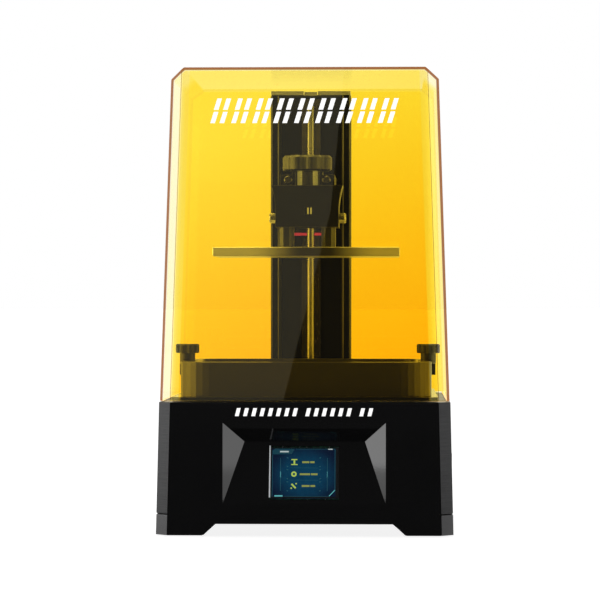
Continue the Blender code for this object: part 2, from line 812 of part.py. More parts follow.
def carriage_section(half_x):
    """The rail block's section: a channel that reaches around the rail."""
    inner = RAIL_HALF_X + GAP
    floor = RAIL_FRONT - GAP
    return [
        (-half_x, BLOCK_FRONT),
        (half_x, BLOCK_FRONT),
        (half_x, BLOCK_BACK),
        (inner, BLOCK_BACK),
        (inner, floor),
        (-inner, floor),
        (-inner, BLOCK_BACK),
        (-half_x, BLOCK_BACK),
    ]


def rail_block(steel, red):
    slab("rail_block", carriage_section(BLOCK_HALF_X), BLOCK_LOW, BLOCK_HIGH, steel)
    seal = carriage_section(BLOCK_HALF_X - 0.5)
    low = BLOCK_LOW - GAP
    high = BLOCK_HIGH + GAP
    slab("rail_seal_lower", seal, low - SEAL_THICKNESS, low, red)
    slab("rail_seal_upper", seal, high, high + SEAL_THICKNESS, red)


def z_arm(material):
    """The arm: a root against the rail block, a gusset and a plate with an open clamp slot."""
    profile = [
        (ARM_FRONT, ARM_LOW),
        (12, ARM_LOW),
        (44, ARM_ROOT_LOW),
        (BLOCK_FRONT - GAP, ARM_ROOT_LOW),
        (BLOCK_FRONT - GAP, ARM_HIGH),
        (ARM_FRONT, ARM_HIGH),
    ]
    rings = [[(x, y, z) for y, z in profile] for x in (-ARM_HALF_X, ARM_HALF_X)]
    arm = loft("z_arm", rings, material)
    lip_x = (-SLOT_HALF_WIDTH - 3, SLOT_HALF_WIDTH + 3)
    lip = block("lip", lip_x, (ARM_FRONT, OPTICS_Y + 16), (ARM_HIGH - 1, CLAMP_LIP_HIGH))
    join(arm, lip)
    slot_x = (-SLOT_HALF_WIDTH, SLOT_HALF_WIDTH)
    slot = block("slot", slot_x, (ARM_FRONT - 10, OPTICS_Y), (ARM_LOW - 5, ARM_HIGH + 10))
    slot_end = slab("slot_end", circle(SLOT_HALF_WIDTH), ARM_LOW - 5, 345, at=(0, OPTICS_Y, 0))
    nut_bore = slab("nut_bore", circle(7, 24), ARM_ROOT_LOW - 5, 345, at=(0, SCREW_Y, 0))
    gap_y = (0, SCREW_Y)
    screw_gap = block("screw_gap", (-6, 6), gap_y, (ARM_ROOT_LOW - 5, NUT_LOW - 2))
    return cut(arm, join(slot, slot_end), nut_bore, screw_gap)


def arm_fittings(nut, screw, flag):
    bore = SCREW_RADIUS + 0.2
    flange_low = ARM_HIGH + GAP
    flange_high = flange_low + 3
    profile = [
        (6.7, NUT_LOW),
        (6.7, flange_low),
        (11, flange_low),
        (11, flange_high),
        (bore, flange_high),
        (bore, NUT_LOW),
    ]
    turned("lead_nut", profile, nut, 24, at=(0, SCREW_Y, 0), bored=True)
    head = [(3.0, -2.6), (4.0, -1.8), (4.0, 0)]
    for side, x in (("left", -18.0), ("right", 18.0)):
        place = (x, ARM_FRONT - GAP, (ARM_LOW + ARM_HIGH) / 2)
        turned(f"arm_screw_{side}", head, screw, 16, at=place, turn=(-math.pi / 2, 0, 0))
    block("sensor_flag", (22.5, 24.0), (BLOCK_FRONT, BLOCK_FRONT + 7), (268, 329), flag)


# ---- Build platform --------------------------------------------------------------------------


def bracket_outline():
    """The bracket from the front: sides that sweep in from a wide top to a straight skirt."""
    knee = BRACKET_LOW + 15
    flare = BRACKET_TOP_HALF_WIDTH - BRACKET_HALF_WIDTH
    side = [(BRACKET_HALF_WIDTH, BRACKET_LOW)]
    for step in range(7):
        rise = step / 6
        side.append((BRACKET_HALF_WIDTH + flare * rise**2, knee + rise * (BRACKET_HIGH - knee)))
    return side + [(-x, z) for x, z in reversed(side)]


def platform_bracket(material):
    y_low = OPTICS_Y - BRACKET_HALF_DEPTH
    y_high = OPTICS_Y + BRACKET_HALF_DEPTH
    rings = [[(x, y, z) for x, z in bracket_outline()] for y in (y_high, y_low)]
    bracket = loft("platform_bracket", rings, material)
    inner_x = BRACKET_HALF_WIDTH - WALL
    roof = BRACKET_HIGH - 4.7
    hollow = block("hollow", (-inner_x, inner_x), (y_low + 4, y_high - 4), (BRACKET_LOW - 5, roof))
    window = block("window", (-2.5, 4.5), (y_low - 5, y_high + 5), (293.6, 300))
    stud_hole = slab("stud_hole", circle(4.3, 16), roof - 5, BRACKET_HIGH + 5, at=(0, OPTICS_Y, 0))
    screw_holes = []
    for y in leveling_screw_ys():
        place = (0, y, 290.5)
        hole = slab("screw_hole", circle(3.3, 16), -50, 50, at=place, turn=(0, math.pi / 2, 0))
        screw_holes.append(hole)
    return cut(bracket, hollow, window, stud_hole, *screw_holes)


def leveling_screw_ys():
    return (OPTICS_Y - 10, OPTICS_Y + 10)


def plate_mount(material):
    """Two posts with bevelled corners on the plate, bridged inside the bracket.

    The leveling screws grip the posts.
    """
    outer_x = BRACKET_HALF_WIDTH - WALL - GAP
    inner_x = 13.0
    outline = octagon((outer_x - inner_x) / 2, 16, 3.8)
    bridge_y = (OPTICS_Y - 12, OPTICS_Y + 12)
    mount = block("plate_mount", (-inner_x - 2, inner_x + 2), bridge_y, (284, 291), material)
    posts = []
    holes = []
    for side in (-1, 1):
        place = (side * (outer_x + inner_x) / 2, OPTICS_Y, 0)
        posts.append(slab("post", outline, PLATE_HIGH + GAP, 300, at=place))
        for screw_y in leveling_screw_ys():
            place = (side * 22.5, screw_y, 290.5)
            circle_outline = circle(3.3, 16)
            turn = (0, math.pi / 2, 0)
            holes.append(slab("hole", circle_outline, -6, 6, at=place, turn=turn))
    return cut(join(mount, *posts), *holes)


def leveling_screws(material):
    """Four bolts, two in each side of the bracket, with round heads outside it."""
    inner = 18.0
    seat = BRACKET_HALF_WIDTH + GAP
    profile = [(3.0, inner), (3.0, seat), (4.7, seat), (4.7, seat + 5), (3.9, seat + 6)]
    for side, turn in (("left", -math.pi / 2), ("right", math.pi / 2)):
        for end, y in zip(("front", "rear"), leveling_screw_ys()):
            name = f"leveling_screw_{end}_{side}"
            turned(name, profile, material, 16, at=(0, y, 290.5), turn=(0, turn, 0))


def build_plate(material):
    x = (-PLATE_HALF_X, PLATE_HALF_X)
    y = (OPTICS_Y - PLATE_HALF_Y, OPTICS_Y + PLATE_HALF_Y)
    return soften(block("build_plate", x, y, (PLATE_LOW, PLATE_HIGH), material), 0.8)


def platform_knob(material):
    """The clamp knob: a scalloped head, a hub in the arm's slot and a stud into the bracket."""
    rings = []
    levels = ((2.0, KNOB_LOW), (0.0, KNOB_LOW + 1.5), (0.0, KNOB_HIGH - 2), (2.0, KNOB_HIGH))
    for inset, height in levels:
        outline = scallops(KNOB_RADIUS - inset, 3.2, 7, math.radians(-97))
        rings.append(raised(outline, height))
    place = (0, OPTICS_Y, 0)
    knob = loft("platform_knob", rings, material, at=place)
    hub = turned(
        "hub",
        [(4.0, 306), (4.0, ARM_LOW), (9.8, ARM_LOW), (9.8, KNOB_LOW + 2)],
        at=place,
    )
    return join(knob, hub)


# ---- Vat -------------------------------------------------------------------------------------


def vat_body(material):
    """A tray with rounded corners, sloping inner walls and a ledge under each knob."""
    place = (0, OPTICS_Y, 0)
    outline = rounded_rectangle(VAT_HALF_X, VAT_HALF_Y, VAT_CORNER)
    vat = slab("vat_body", outline, VAT_LOW, VAT_HIGH, material, at=place)
    ears = []
    for side in (-1, 1):
        x = sorted((side * (VAT_HALF_X - 5), side * VAT_EAR_HALF_X))
        ears.append(block("ear", x, (OPTICS_Y - 9, OPTICS_Y + 9), (143.5, VAT_SEAT)))
    join(vat, *ears)
    rings = []
    for half_x, half_y, radius, height in (
        (90, 57, 10, VAT_LOW - 1),
        (90, 57, 10, VAT_LOW + 5),
        (103, 69, 20, VAT_HIGH + 1),
    ):
        rings.append(raised(rounded_rectangle(half_x, half_y, radius), height))
    basin = loft("basin", rings, at=place)
    film_pocket_outline = rectangle(FILM_HALF_X + GAP, FILM_HALF_Y + GAP)
    film_pocket = slab("film_pocket", film_pocket_outline, VAT_LOW - 1, VAT_LOW + 2.6, at=place)
    ledges = []
    for side in (-1, 1):
        x = sorted((side * 103.5, side * (VAT_HALF_X + 5)))
        ledges.append(block("ledge", x, (OPTICS_Y - 9.5, OPTICS_Y + 9.5), (VAT_SEAT, VAT_HIGH + 5)))
    return cut(vat, basin, film_pocket, *ledges, *knob_screw_holes())


def vat_film(frame, film):
    """The clamping frame under the vat, and the clear film that it holds."""
    place = (0, OPTICS_Y, 0)
    low = VAT_LOW + 0.3
    high = VAT_LOW + 2.1
    rings = [
        raised(rectangle(FILM_HALF_X, FILM_HALF_Y), low),
        raised(rectangle(FILM_HALF_X, FILM_HALF_Y), high),
        raised(rectangle(92, 59), high),
        raised(rectangle(92, 59), low),
    ]
    loft("film_frame", rings, frame, ring_shaped=True, at=place)
    outline = rectangle(FILM_HALF_X - 0.5, FILM_HALF_Y - 0.5)
    slab("release_film", outline, high + 0.1, high + 0.3, film, at=place)


def vat_knobs(material):
    """Thumb screws with a scalloped head, a plain neck and a shank down into the deck."""
    for side, x in (("left", -VAT_KNOB_X), ("right", VAT_KNOB_X)):
        place = (x, OPTICS_Y, 0)
        rings = []
        for inset, height in ((0.8, 163.7), (0.0, 164.5), (0.0, 171.3), (1.0, 172.3)):
            outline = scallops(VAT_KNOB_RADIUS - inset, 1.6, 8, 0.0, 8)
            rings.append(raised(outline, height))
        knob = loft(f"vat_knob_{side}", rings, material, at=place)
        seat = VAT_SEAT + GAP
        shank = VAT_SCREW_RADIUS
        neck_profile = [(shank, 119.5), (shank, seat), (7.2, seat), (7.2, 166)]
        neck = turned("neck", neck_profile, steps=24, at=place)
        join(knob, neck)


# ---- Cover -----------------------------------------------------------------------------------


def cover_half_x(height):
    return COVER_HALF_X - COVER_SLOPE * (height - COVER_LOW)


def cover_ring(height, inset):
    """The cover's eight-sided outline at a height, moved in by an inset."""
    half_x = cover_half_x(height) - inset
    half_y = half_x + COVER_HALF_Y - COVER_HALF_X
    return raised(octagon(half_x, half_y, COVER_CORNER - inset * (2 - math.sqrt(2))), height)


def cover_bevel(side, inset):
    """What the slanted edge along one side of the cover's top takes off, moved in by an inset."""
    low = Vector((cover_half_x(COVER_SHOULDER), COVER_SHOULDER))
    high = Vector((cover_half_x(COVER_HIGH) - COVER_CHAMFER, COVER_HIGH))
    along = (high - low).normalized()
    outward = Vector((along.y, -along.x))
    low -= outward * inset
    high -= outward * inset
    reach = 30
    start, end = low - along * reach, high + along * reach
    corners = [start, start + outward * reach, end + outward * reach, end]
    profile = [(side * corner.x, corner.y) for corner in corners]
    if side < 0:
        profile.reverse()
    depth = COVER_HALF_Y + 5
    return slab("bevel", profile, -depth, depth, turn=(math.pi / 2, 0, 0))


def cover_body(name, low, inset, material=None):
    """The cover's outer or inner shape as a full solid."""
    body = loft(name, [cover_ring(low, inset), cover_ring(COVER_HIGH - inset, inset)], material)
    return cut(body, cover_bevel(-1, inset), cover_bevel(1, inset))


def cover_shell(material):
    """One tapered hood, open below, with a slanted edge along each side of its top."""
    shell = cover_body("cover_shell", COVER_LOW, 0, material)
    return cut(shell, cover_body("hollow", COVER_LOW - 1, WALL))


# ---- Assembly --------------------------------------------------------------------------------


def hang(name, place, children):
    """Parent pieces that move together to an empty on their joint's axis."""
    pivot = bpy.data.objects.new(name, None)
    pivot.location = [MM * value for value in place]
    bpy.context.collection.objects.link(pivot)
    bpy.context.view_layer.update()
    for child in children:
        piece = bpy.data.objects[child]
        piece.parent = pivot
        piece.matrix_parent_inverse = pivot.matrix_world.inverted()
    return pivot


def build_base(colours):
    bottom_tray(colours["black"])
    feet(colours["rubber"])
    base_shell(colours["grey"])
    front_panel(colours["gloss"])
    touch_screen(colours["screen_glass"], colours["screen"], colours["board"])
    display_ribbon(colours["white"])
    deck_plate(colours["anodised"])
    optics(
        colours["screen_glass"],
        colours["screen"],
        colours["black"],
        colours["clear"],
        colours["board"],
    )
    heat_sink(colours["aluminium"])
    main_board(colours["board"])
    fan_frame(colours["black"])
    usb_port(colours["steel"])
    power_switch_frame(colours["black"])
    power_inlet(colours["black"])


def build_tower(colours):
    tower_column(colours["anodised"])
    tower_trim(colours["black"], colours["anodised"], colours["steel"])
    linear_rail(colours["steel"])
    motor(colours["black"])
    home_sensor(colours["black"])


def build_moving_pieces(colours):
    lead_screw(colours["steel"], colours["aluminium"], colours["steel"])
    rail_block(colours["steel"], colours["red"])
    z_arm(colours["anodised"])
    arm_fittings(colours["brass"], colours["steel"], colours["black"])
    platform_bracket(colours["anodised"])
    plate_mount(colours["aluminium"])
    leveling_screws(colours["steel"])
    build_plate(colours["aluminium"])
    platform_knob(colours["aluminium"])
    vat_body(colours["anodised"])
    vat_film(colours["steel"], colours["clear"])
    vat_knobs(colours["aluminium"])
    cover_shell(colours["amber"])
    fan_rotor(colours["black"])
    power_rocker(colours["black"])


def hang_moving_pieces():
    """Each group of pieces hangs on the axis that it moves about or along."""
    hang("screw_axis", (0, SCREW_Y, SCREW_LOW), ["lead_screw", "screw_coupler", "motor_shaft"])
    carriage = ["rail_block", "rail_seal_lower", "rail_seal_upper", "z_arm", "lead_nut"]
    carriage += ["arm_screw_left", "arm_screw_right", "sensor_flag"]
    hang("carriage_axis", (0, RAIL_FRONT, BLOCK_LOW), carriage)
    platform = ["platform_bracket", "plate_mount", "build_plate"]
    for end in ("front", "rear"):
        platform += [f"leveling_screw_{end}_left", f"leveling_screw_{end}_right"]
    hang("platform_axis", (0, OPTICS_Y, BRACKET_HIGH), platform)
    hang("vat_axis", (0, OPTICS_Y, VAT_LOW), ["vat_body", "film_frame", "release_film"])
    hang("cover_axis", (0, 0, COVER_LOW), ["cover_shell"])


def main():
    for leftover in list(bpy.data.objects):
        bpy.data.objects.remove(leftover)
    colours = {
        "black": paint("black_plastic", (0.02, 0.02, 0.02), 0.5),
        "gloss": paint("gloss_black", (0.005, 0.005, 0.005), 0.15),
        "grey": paint("dark_grey_plastic", (0.08, 0.08, 0.085), 0.5),
        "rubber": paint("rubber", (0.02, 0.02, 0.02), 0.9),
        "anodised": paint("black_anodised", (0.03, 0.03, 0.03), 0.4, 1.0),
        "aluminium": paint("aluminium", (0.6, 0.6, 0.6), 0.35, 1.0),
        "steel": paint("steel", (0.5, 0.5, 0.5), 0.25, 1.0),
        "brass": paint("brass", (0.7, 0.5, 0.2), 0.3, 1.0),
        "red": paint("red_plastic", (0.7, 0.03, 0.03), 0.4),
        "white": paint("white_ribbon", (0.8, 0.8, 0.78), 0.6),
        "board": paint("circuit_board", (0.02, 0.15, 0.06), 0.5),
        "screen": paint("screen", (0.01, 0.04, 0.05), 0.3),
        "screen_glass": paint("glass", (0.05, 0.06, 0.06), 0.05, alpha=0.4),
        "clear": paint("clear_plastic", (0.9, 0.9, 0.9), 0.1, alpha=0.3),
        "amber": paint("amber_acrylic", (1.0, 0.55, 0.02), 0.08, alpha=0.4),
    }
    build_base(colours)
    build_tower(colours)
    build_moving_pieces(colours)
    hang_moving_pieces()


main()
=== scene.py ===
"""Looks for a desktop resin printer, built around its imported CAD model.

The CAD nodes keep their places and get procedural finishes. The amber cover and the lead screw are
rebuilt in mesh code, and the touch screen's picture, the white marks, the screen's trim and small
hardware are added. Sizes below are in millimetres and become metres where a mesh is made.
"""

import math

import bmesh
import bpy
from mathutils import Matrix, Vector


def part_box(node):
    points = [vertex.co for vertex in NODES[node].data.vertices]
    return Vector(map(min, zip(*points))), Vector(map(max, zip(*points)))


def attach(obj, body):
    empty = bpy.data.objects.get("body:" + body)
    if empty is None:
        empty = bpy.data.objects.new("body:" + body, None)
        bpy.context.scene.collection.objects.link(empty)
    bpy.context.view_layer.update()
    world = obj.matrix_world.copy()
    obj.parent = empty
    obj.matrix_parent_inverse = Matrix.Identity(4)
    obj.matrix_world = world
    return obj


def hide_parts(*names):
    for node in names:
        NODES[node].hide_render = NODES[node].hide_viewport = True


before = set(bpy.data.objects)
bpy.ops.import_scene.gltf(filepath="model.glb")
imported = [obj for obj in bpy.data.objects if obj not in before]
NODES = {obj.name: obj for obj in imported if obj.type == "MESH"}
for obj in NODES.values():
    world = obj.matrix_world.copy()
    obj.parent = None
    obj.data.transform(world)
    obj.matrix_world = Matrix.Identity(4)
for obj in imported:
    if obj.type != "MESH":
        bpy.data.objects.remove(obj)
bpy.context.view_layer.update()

MM = 0.001

BASE_LEAN = 2.75 / 121.0  # how far the base's walls lean in for each millimetre up

# Camera, at the photographed viewing angle
CAMERA_PLACE = (0.080, -2.644, 0.2136)
CAMERA_YAW = 1.917
CAMERA_LENS = 166.3
SENSOR_WIDTH = 36.0

# Cover
COVER_BOX = tuple(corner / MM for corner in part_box("cover_shell"))
COVER_HALF_X = COVER_BOX[1].x
COVER_HALF_Y = COVER_BOX[1].y
COVER_LOW = COVER_BOX[0].z
COVER_HIGH = COVER_BOX[1].z
COVER_WALL = 3.0
COVER_CORNER = 9.8
COVER_SHOULDER = 414.7
COVER_CHAMFER = 12.0
COVER_SLOPE = 9.45 / 291.0
COVER_ROUNDING = 0.7
EDGE_DEPTH = 2.6  # how deep a wall seen edge-on looks brown
SIDE_STRIP = 113.5  # where the front wall's paler side strips begin, out from its middle

# Tint of the acrylic at each surface that light crosses
LOW_TINT = (0.993, 0.79, 0.15)
HIGH_TINT = (0.993, 0.918, 0.41)
# The corner facets' paler tint is painted light, for room light they refract
FACET_PAINTED_LIGHT = (0.995, 0.975, 0.85)
STRIP_TINT = (0.97, 0.91, 0.53)
MIRROR_TINT = (0.99, 0.985, 0.95)
# The rounded edges' darker tint is painted shade
ROUNDING_PAINTED_SHADE = (0.52, 0.4, 0.2)
EDGE_TINT = (0.37, 0.155, 0.06)
PALE_TINT = (0.97, 0.93, 0.8)  # for the studio's own light on its way in

# Lead screw
THREAD_PITCH = 2.0
THREAD_STARTS = 2
THREAD_LEAD = THREAD_PITCH * THREAD_STARTS
THREAD_STEPS = 36
THREAD_PROFILE = ((0.0, 0.85), (0.3, 0.85), (0.5, 0.0), (0.8, 0.0))  # share of the pitch, depth

# Studio
LEFT_POWER = 14.0
RIGHT_POWER = 3.8
TOP_POWER = 16.0
SHEEN = 0.31

# Tower: its front face, and the painted highlight lines down it, which stand in for its rounded edges
# catching the side lights
TOWER_FRONT = 59.5
TOWER_PAINTED_HIGHLIGHTS = (31.6, 38.0)

# Print and screws
PRINT_DEPTH = 0.12
SUNK = 0.02  # how far print and screw heads reach into the wall they sit on

# Touch screen
SCREEN_TILT = math.atan2(17.0, 56.0)
DISPLAY_HALF_THICKNESS = 0.7
PICTURE_SHIFT = (-0.6, 1.1)  # the lit picture sits off the glass's middle by this much

# Each metal's pale and dark shade, roughness, stretch of its tool lines, and edge colour and share
METALS = {
    "bare_aluminium": (
        (0.105, 0.105, 0.1), (0.05, 0.05, 0.05), 0.34, (3, 3, 14), (0.45, 0.45, 0.44), 0.4
    ),
    "bright_steel": (
        (0.55, 0.54, 0.51), (0.4, 0.4, 0.385), 0.2, (10, 10, 2), (0.7, 0.7, 0.7), 0.3
    ),
    "cap_aluminium": (
        (0.85, 0.85, 0.83), (0.7, 0.7, 0.69), 0.4, (14, 3, 3), (0.9, 0.9, 0.9), 0.6
    ),
    "dark_steel": (
        (0.12, 0.115, 0.105), (0.08, 0.075, 0.07), 0.24, (10, 10, 2), (0.35, 0.34, 0.32), 0.5
    ),
    "nut_brass": (
        (0.7, 0.5, 0.2), (0.5, 0.33, 0.12), 0.28, (3, 3, 16), (0.9, 0.75, 0.4), 0.6
    ),
}

# Nodes that don't wear their slot's finish
NODE_FINISHES = {
    "linear_rail": "dark_steel",
    "rail_block": "dark_steel",
    "arm_screw_left": "dark_steel",
    "arm_screw_right": "dark_steel",
    "cap_screw_left": "dark_steel",
    "cap_screw_right": "dark_steel",
    "deck_plate": "gloss_black",
    "build_plate": "plate_aluminium",
    "tower_column": "tower_anodised",
    "tower_cap": "cap_aluminium",
    "vat_body": "vat_anodised",
}

# How far the larger CAD pieces' edges are rounded
ROUNDED_NODES = {
    "tower_column": 0.9,
    "tower_cap": 0.6,
    "platform_bracket": 0.6,
    "z_arm": 0.6,
    "build_plate": 0.7,
    "plate_mount": 0.4,
    "rail_block": 0.5,
    "base_shell": 0.4,
    "bottom_tray": 0.4,
}


# ---- Mesh helpers ----


def add_mesh(name, mesh, materials):
    """A new object that shows a mesh in its materials."""
    piece = bpy.data.objects.new(name, mesh)
    bpy.context.scene.collection.objects.link(piece)
    for material in materials:
        mesh.materials.append(material)
    return piece


def mesh_of(name, points, faces):
    """A plain mesh from points in millimetres."""
    mesh = bpy.data.meshes.new(name)
    mesh.from_pydata([Vector(point) * MM for point in points], [], faces)
    return mesh


def into_mesh(shape, mesh):
    """Writes an edited shape into a mesh, with its normals outward."""
    bmesh.ops.recalc_face_normals(shape, faces=shape.faces)
    shape.to_mesh(mesh)
    shape.free()


def new_piece(name, points, faces, material, body):
    """A mesh object from points in millimetres, with its normals outward, riding on a body."""
    mesh = mesh_of(name, points, faces)
    shape = bmesh.new()
    shape.from_mesh(mesh)
    into_mesh(shape, mesh)
    piece = add_mesh(name, mesh, [material])
    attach(piece, body)
    return piece


def cut_away(shape, parts, spot, facing):
    """Cuts parts of a shape with a plane, and drops what lies on the side the plane faces."""
    return bmesh.ops.bisect_plane(
        shape, geom=list(parts), plane_co=spot * MM, plane_no=facing, clear_outer=True
    )


def round_edges(piece, width, angle, weld=False):
    """Rounds a piece's sharp edges with live modifiers and shades it smooth."""
    if weld:
        piece.modifiers.new("weld", "WELD").merge_threshold = 0.005 * MM
    bevel = piece.modifiers.new("rounding", "BEVEL")
    bevel.width = width * MM
    bevel.segments = 2
    bevel.limit_method = "ANGLE"
    bevel.angle_limit = math.radians(angle)
    bevel.harden_normals = not weld
    piece.data.shade_smooth()
    if weld:
        piece.modifiers.new("normals", "WEIGHTED_NORMAL").keep_sharp = False


def node_box(name):
    """A CAD node's lowest and highest corner in millimetres."""
    low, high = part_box(name)
    return low / MM, high / MM


def around(u, v, radius, turn):
    """The place at a radius and a turn about (u, v)."""
    return u + radius * math.cos(turn), v + radius * math.sin(turn)


def ring_sides(first, count, rings):
    """Four-cornered faces between rings of points that follow one another."""
    faces = []
    for start in range(first, first + (rings - 1) * count, count):
        for step in range(count):
            after = (step + 1) % count
            faces.append((start + step, start + after, start + count + after, start + count + step))
    return faces


def prism(outline, depth, place):
    """Points and faces of a flat outline given some depth. place turns (u, v, w) into (x, y, z)."""
    count = len(outline)
    points = [place(u, v, w) for w in (0, depth) for u, v in outline]
    faces = [tuple(range(count)), tuple(range(count, 2 * count))]
    return points, faces + ring_sides(0, count, 2)


def prisms(name, outlines, depth, place, material, body):
    """One piece made of many separate flat shapes."""
    points, faces = [], []
    for outline in outlines:
        more_points, more_faces = prism(outline, depth, place)
        first = len(points)
        points += more_points
        faces += [tuple(first + corner for corner in face) for face in more_faces]
    new_piece(name, points, faces, material, body)


def bar(u, v, width, height, slant=0.0):
    """A four-cornered bar centred on (u, v), its top moved sideways by slant."""
    half_width, half_height = width / 2, height / 2
    lean = slant / 2
    return [
        (u - half_width - lean, v - half_height),
        (u + half_width - lean, v - half_height),
        (u + half_width + lean, v + half_height),
        (u - half_width + lean, v + half_height),
    ]


def line(start, end, width):
    """A thin bar from one point to another."""
    along = Vector((end[0] - start[0], end[1] - start[1]))
    side = Vector((-along.y, along.x)).normalized() * (width / 2)
    ends = (Vector(start) - side, Vector(end) - side, Vector(end) + side, Vector(start) + side)
    return [tuple(corner) for corner in ends]


# ---- Material helpers ----


class Nodes:
    """A node tree with short ways to add and join its nodes."""

    def __init__(self, tree):
        self.tree = tree

    def add(self, kind, **settings):
        node = self.tree.nodes.new(kind)
        for name, value in settings.items():
            setattr(node, name, value)
        return node

    def join(self, source, target):
        """Links an output to an input, or sets the input to a plain value."""
        if isinstance(source, bpy.types.NodeSocket):
            self.tree.links.new(source, target)
        elif isinstance(source, (tuple, list)) and len(source) == 3 and target.type == "RGBA":
            target.default_value = (*source, 1.0)
        else:
            target.default_value = source

    def feed(self, node, **values):
        """Joins values to a node's inputs, whose names have _ for each space."""
        for name, value in values.items():
            self.join(value, node.inputs[name.replace("_", " ")])
        return node

    def math(self, operation, first, second=0.0):
        node = self.add("ShaderNodeMath", operation=operation)
        self.join(first, node.inputs[0])
        self.join(second, node.inputs[1])
        return node.outputs[0]

    def plus(self, first, second):
        return self.math("ADD", first, second)

    def minus(self, first, second):
        return self.math("SUBTRACT", first, second)

    def times(self, first, second):
        return self.math("MULTIPLY", first, second)

    def larger(self, first, second):
        return self.math("MAXIMUM", first, second)

    def smaller(self, first, second):
        return self.math("MINIMUM", first, second)

    def size(self, value):
        return self.math("ABSOLUTE", value)

    def dot(self, first, second):
        """How far two directions agree, from -1 to 1."""
        node = self.add("ShaderNodeVectorMath", operation="DOT_PRODUCT")
        self.join(first, node.inputs[0])
        self.join(second, node.inputs[1])
        return node.outputs["Value"]

    def range(self, value, low, high, to_low=0.0, to_high=1.0, smooth=False):
        node = self.add("ShaderNodeMapRange")
        if smooth:
            node.interpolation_type = "SMOOTHSTEP"
        self.feed(node, Value=value, From_Min=low, From_Max=high, To_Min=to_low, To_Max=to_high)
        return node.outputs["Result"]

    def parts(self, vector):
        """A vector's three parts."""
        return self.feed(self.add("ShaderNodeSeparateXYZ"), Vector=vector).outputs

    def vary(self, noise, to_low, to_high):
        """Turns a noise, most of which lies from 0.3 to 0.7, into another range."""
        return self.range(noise, 0.3, 0.7, to_low, to_high)

    def blend(self, share, first, second):
        """A colour between two, by a share from 0 to 1."""
        node = self.add("ShaderNodeMix", data_type="RGBA")
        factor, from_colour, to_colour = node.inputs[0], node.inputs[6], node.inputs[7]
        self.join(share, factor)
        self.join(first, from_colour)
        self.join(second, to_colour)
        return node.outputs[2]


class Finish(Nodes):
    """A node material, with the textures and places that finishes are made from."""

    def __init__(self, name):
        self.material = bpy.data.materials.new(name)
        self.material.use_nodes = True
        super().__init__(self.material.node_tree)
        self.shader = self.tree.nodes["Principled BSDF"]
        self.output = self.tree.nodes["Material Output"]
        self.spot = self.add("ShaderNodeTexCoord").outputs["Object"]

    def dressed(self, **values):
        """The material with its main shader's inputs set."""
        self.feed(self.shader, **values)
        return self.material

    def show(self, surface):
        """Shows a shader of its own instead of the main one."""
        self.tree.nodes.remove(self.shader)
        self.join(surface, self.output.inputs["Surface"])
        return self.material

    def texture(self, kind, scale, stretch=None, **settings):
        """A texture on the piece's own coordinates, stretched along each direction if asked."""
        spot = self.spot
        if stretch:
            mapping = self.feed(self.add("ShaderNodeMapping"), Vector=spot, Scale=stretch)
            spot = mapping.outputs["Vector"]
        return self.feed(self.add(kind, **settings), Vector=spot, Scale=scale)

    def noise(self, scale, detail=3.0, rough=0.5, stretch=None):
        node = self.texture("ShaderNodeTexNoise", scale, stretch)
        return self.feed(node, Detail=detail, Roughness=rough).outputs["Fac"]

    def cells(self, scale, feature="F1", stretch=None):
        return self.texture("ShaderNodeTexVoronoi", scale, stretch, feature=feature).outputs["Distance"]

    def bands(self, scale, direction):
        node = self.texture("ShaderNodeTexWave", scale, wave_type="BANDS", bands_direction=direction)
        return node.outputs["Fac"]

    def place(self, axis):
        """One of the piece's own coordinates, in metres."""
        return self.parts(self.spot)[axis]

    def off_middle(self, axis):
        """How far out a point lies from the object's middle along an axis, in metres."""
        return self.size(self.place(axis))

    def bump(self, height, distance, strength=1.0, after=None):
        node = self.add("ShaderNodeBump")
        self.feed(node, Height=height, Distance=distance, Strength=strength)
        if after is not None:
            self.join(after, node.inputs["Normal"])
        return node.outputs["Normal"]

    def edges(self, radius):
        """1 on sharp edges and 0 on flat faces, found by how far rounding turns the normal."""
        rounded = self.feed(self.add("ShaderNodeBevel", samples=4), Radius=radius)
        flat = self.add("ShaderNodeNewGeometry").outputs["Normal"]
        return self.range(self.dot(rounded.outputs["Normal"], flat), 0.995, 0.8, 0.0, 1.0)


# ---- Finishes ----


def gloss_black(finish):
    """Piano-black moulding: nearly mirror-smooth, with faint haze and polishing swirls."""
    haze = finish.noise(34.0, 4.0)
    dust = finish.noise(900.0, 2.0)
    return finish.dressed(
        Base_Color=finish.blend(haze, (0.0012, 0.0012, 0.0014), (0.0024, 0.0024, 0.0026)),
        Roughness=finish.vary(haze, 0.025, 0.05),
        Specular_IOR_Level=0.68,
        Normal=finish.bump(dust, 0.00002, 0.25),
    )


def shell_plastic(finish):
    """Moulded black plastic with fine level streaks, as on the base's corner facets."""
    streaks = finish.noise(60.0, 5.0, 0.7, stretch=(0.5, 0.5, 22.0))
    grain = finish.noise(1400.0, 2.0)
    wear = finish.edges(0.0008)
    lines = finish.range(streaks, 0.35, 0.65)
    base = finish.blend(lines, (0.003, 0.003, 0.0035), (0.014, 0.014, 0.015))
    return finish.dressed(
        Base_Color=finish.blend(finish.times(wear, 0.35), base, (0.09, 0.09, 0.09)),
        Roughness=finish.range(streaks, 0.3, 0.75, 0.26, 0.42),
        Specular_IOR_Level=finish.range(streaks, 0.35, 0.65, 0.24, 0.34),
        Normal=finish.bump(streaks, 0.00012, 0.6, finish.bump(grain, 0.00002, 0.5)),
    )


def tray_plastic(finish):
    """The lower tray: the same black, smoother and a little paler."""
    cloud = finish.noise(18.0)
    grain = finish.noise(1800.0, 2.0)
    wear = finish.edges(0.0008)
    base = finish.blend(cloud, (0.012, 0.012, 0.013), (0.02, 0.02, 0.021))
    return finish.dressed(
        Base_Color=finish.blend(finish.times(wear, 0.35), base, (0.1, 0.1, 0.1)),
        Roughness=finish.vary(cloud, 0.2, 0.3),
        Specular_IOR_Level=0.48,
        Normal=finish.bump(grain, 0.00002, 0.5),
    )


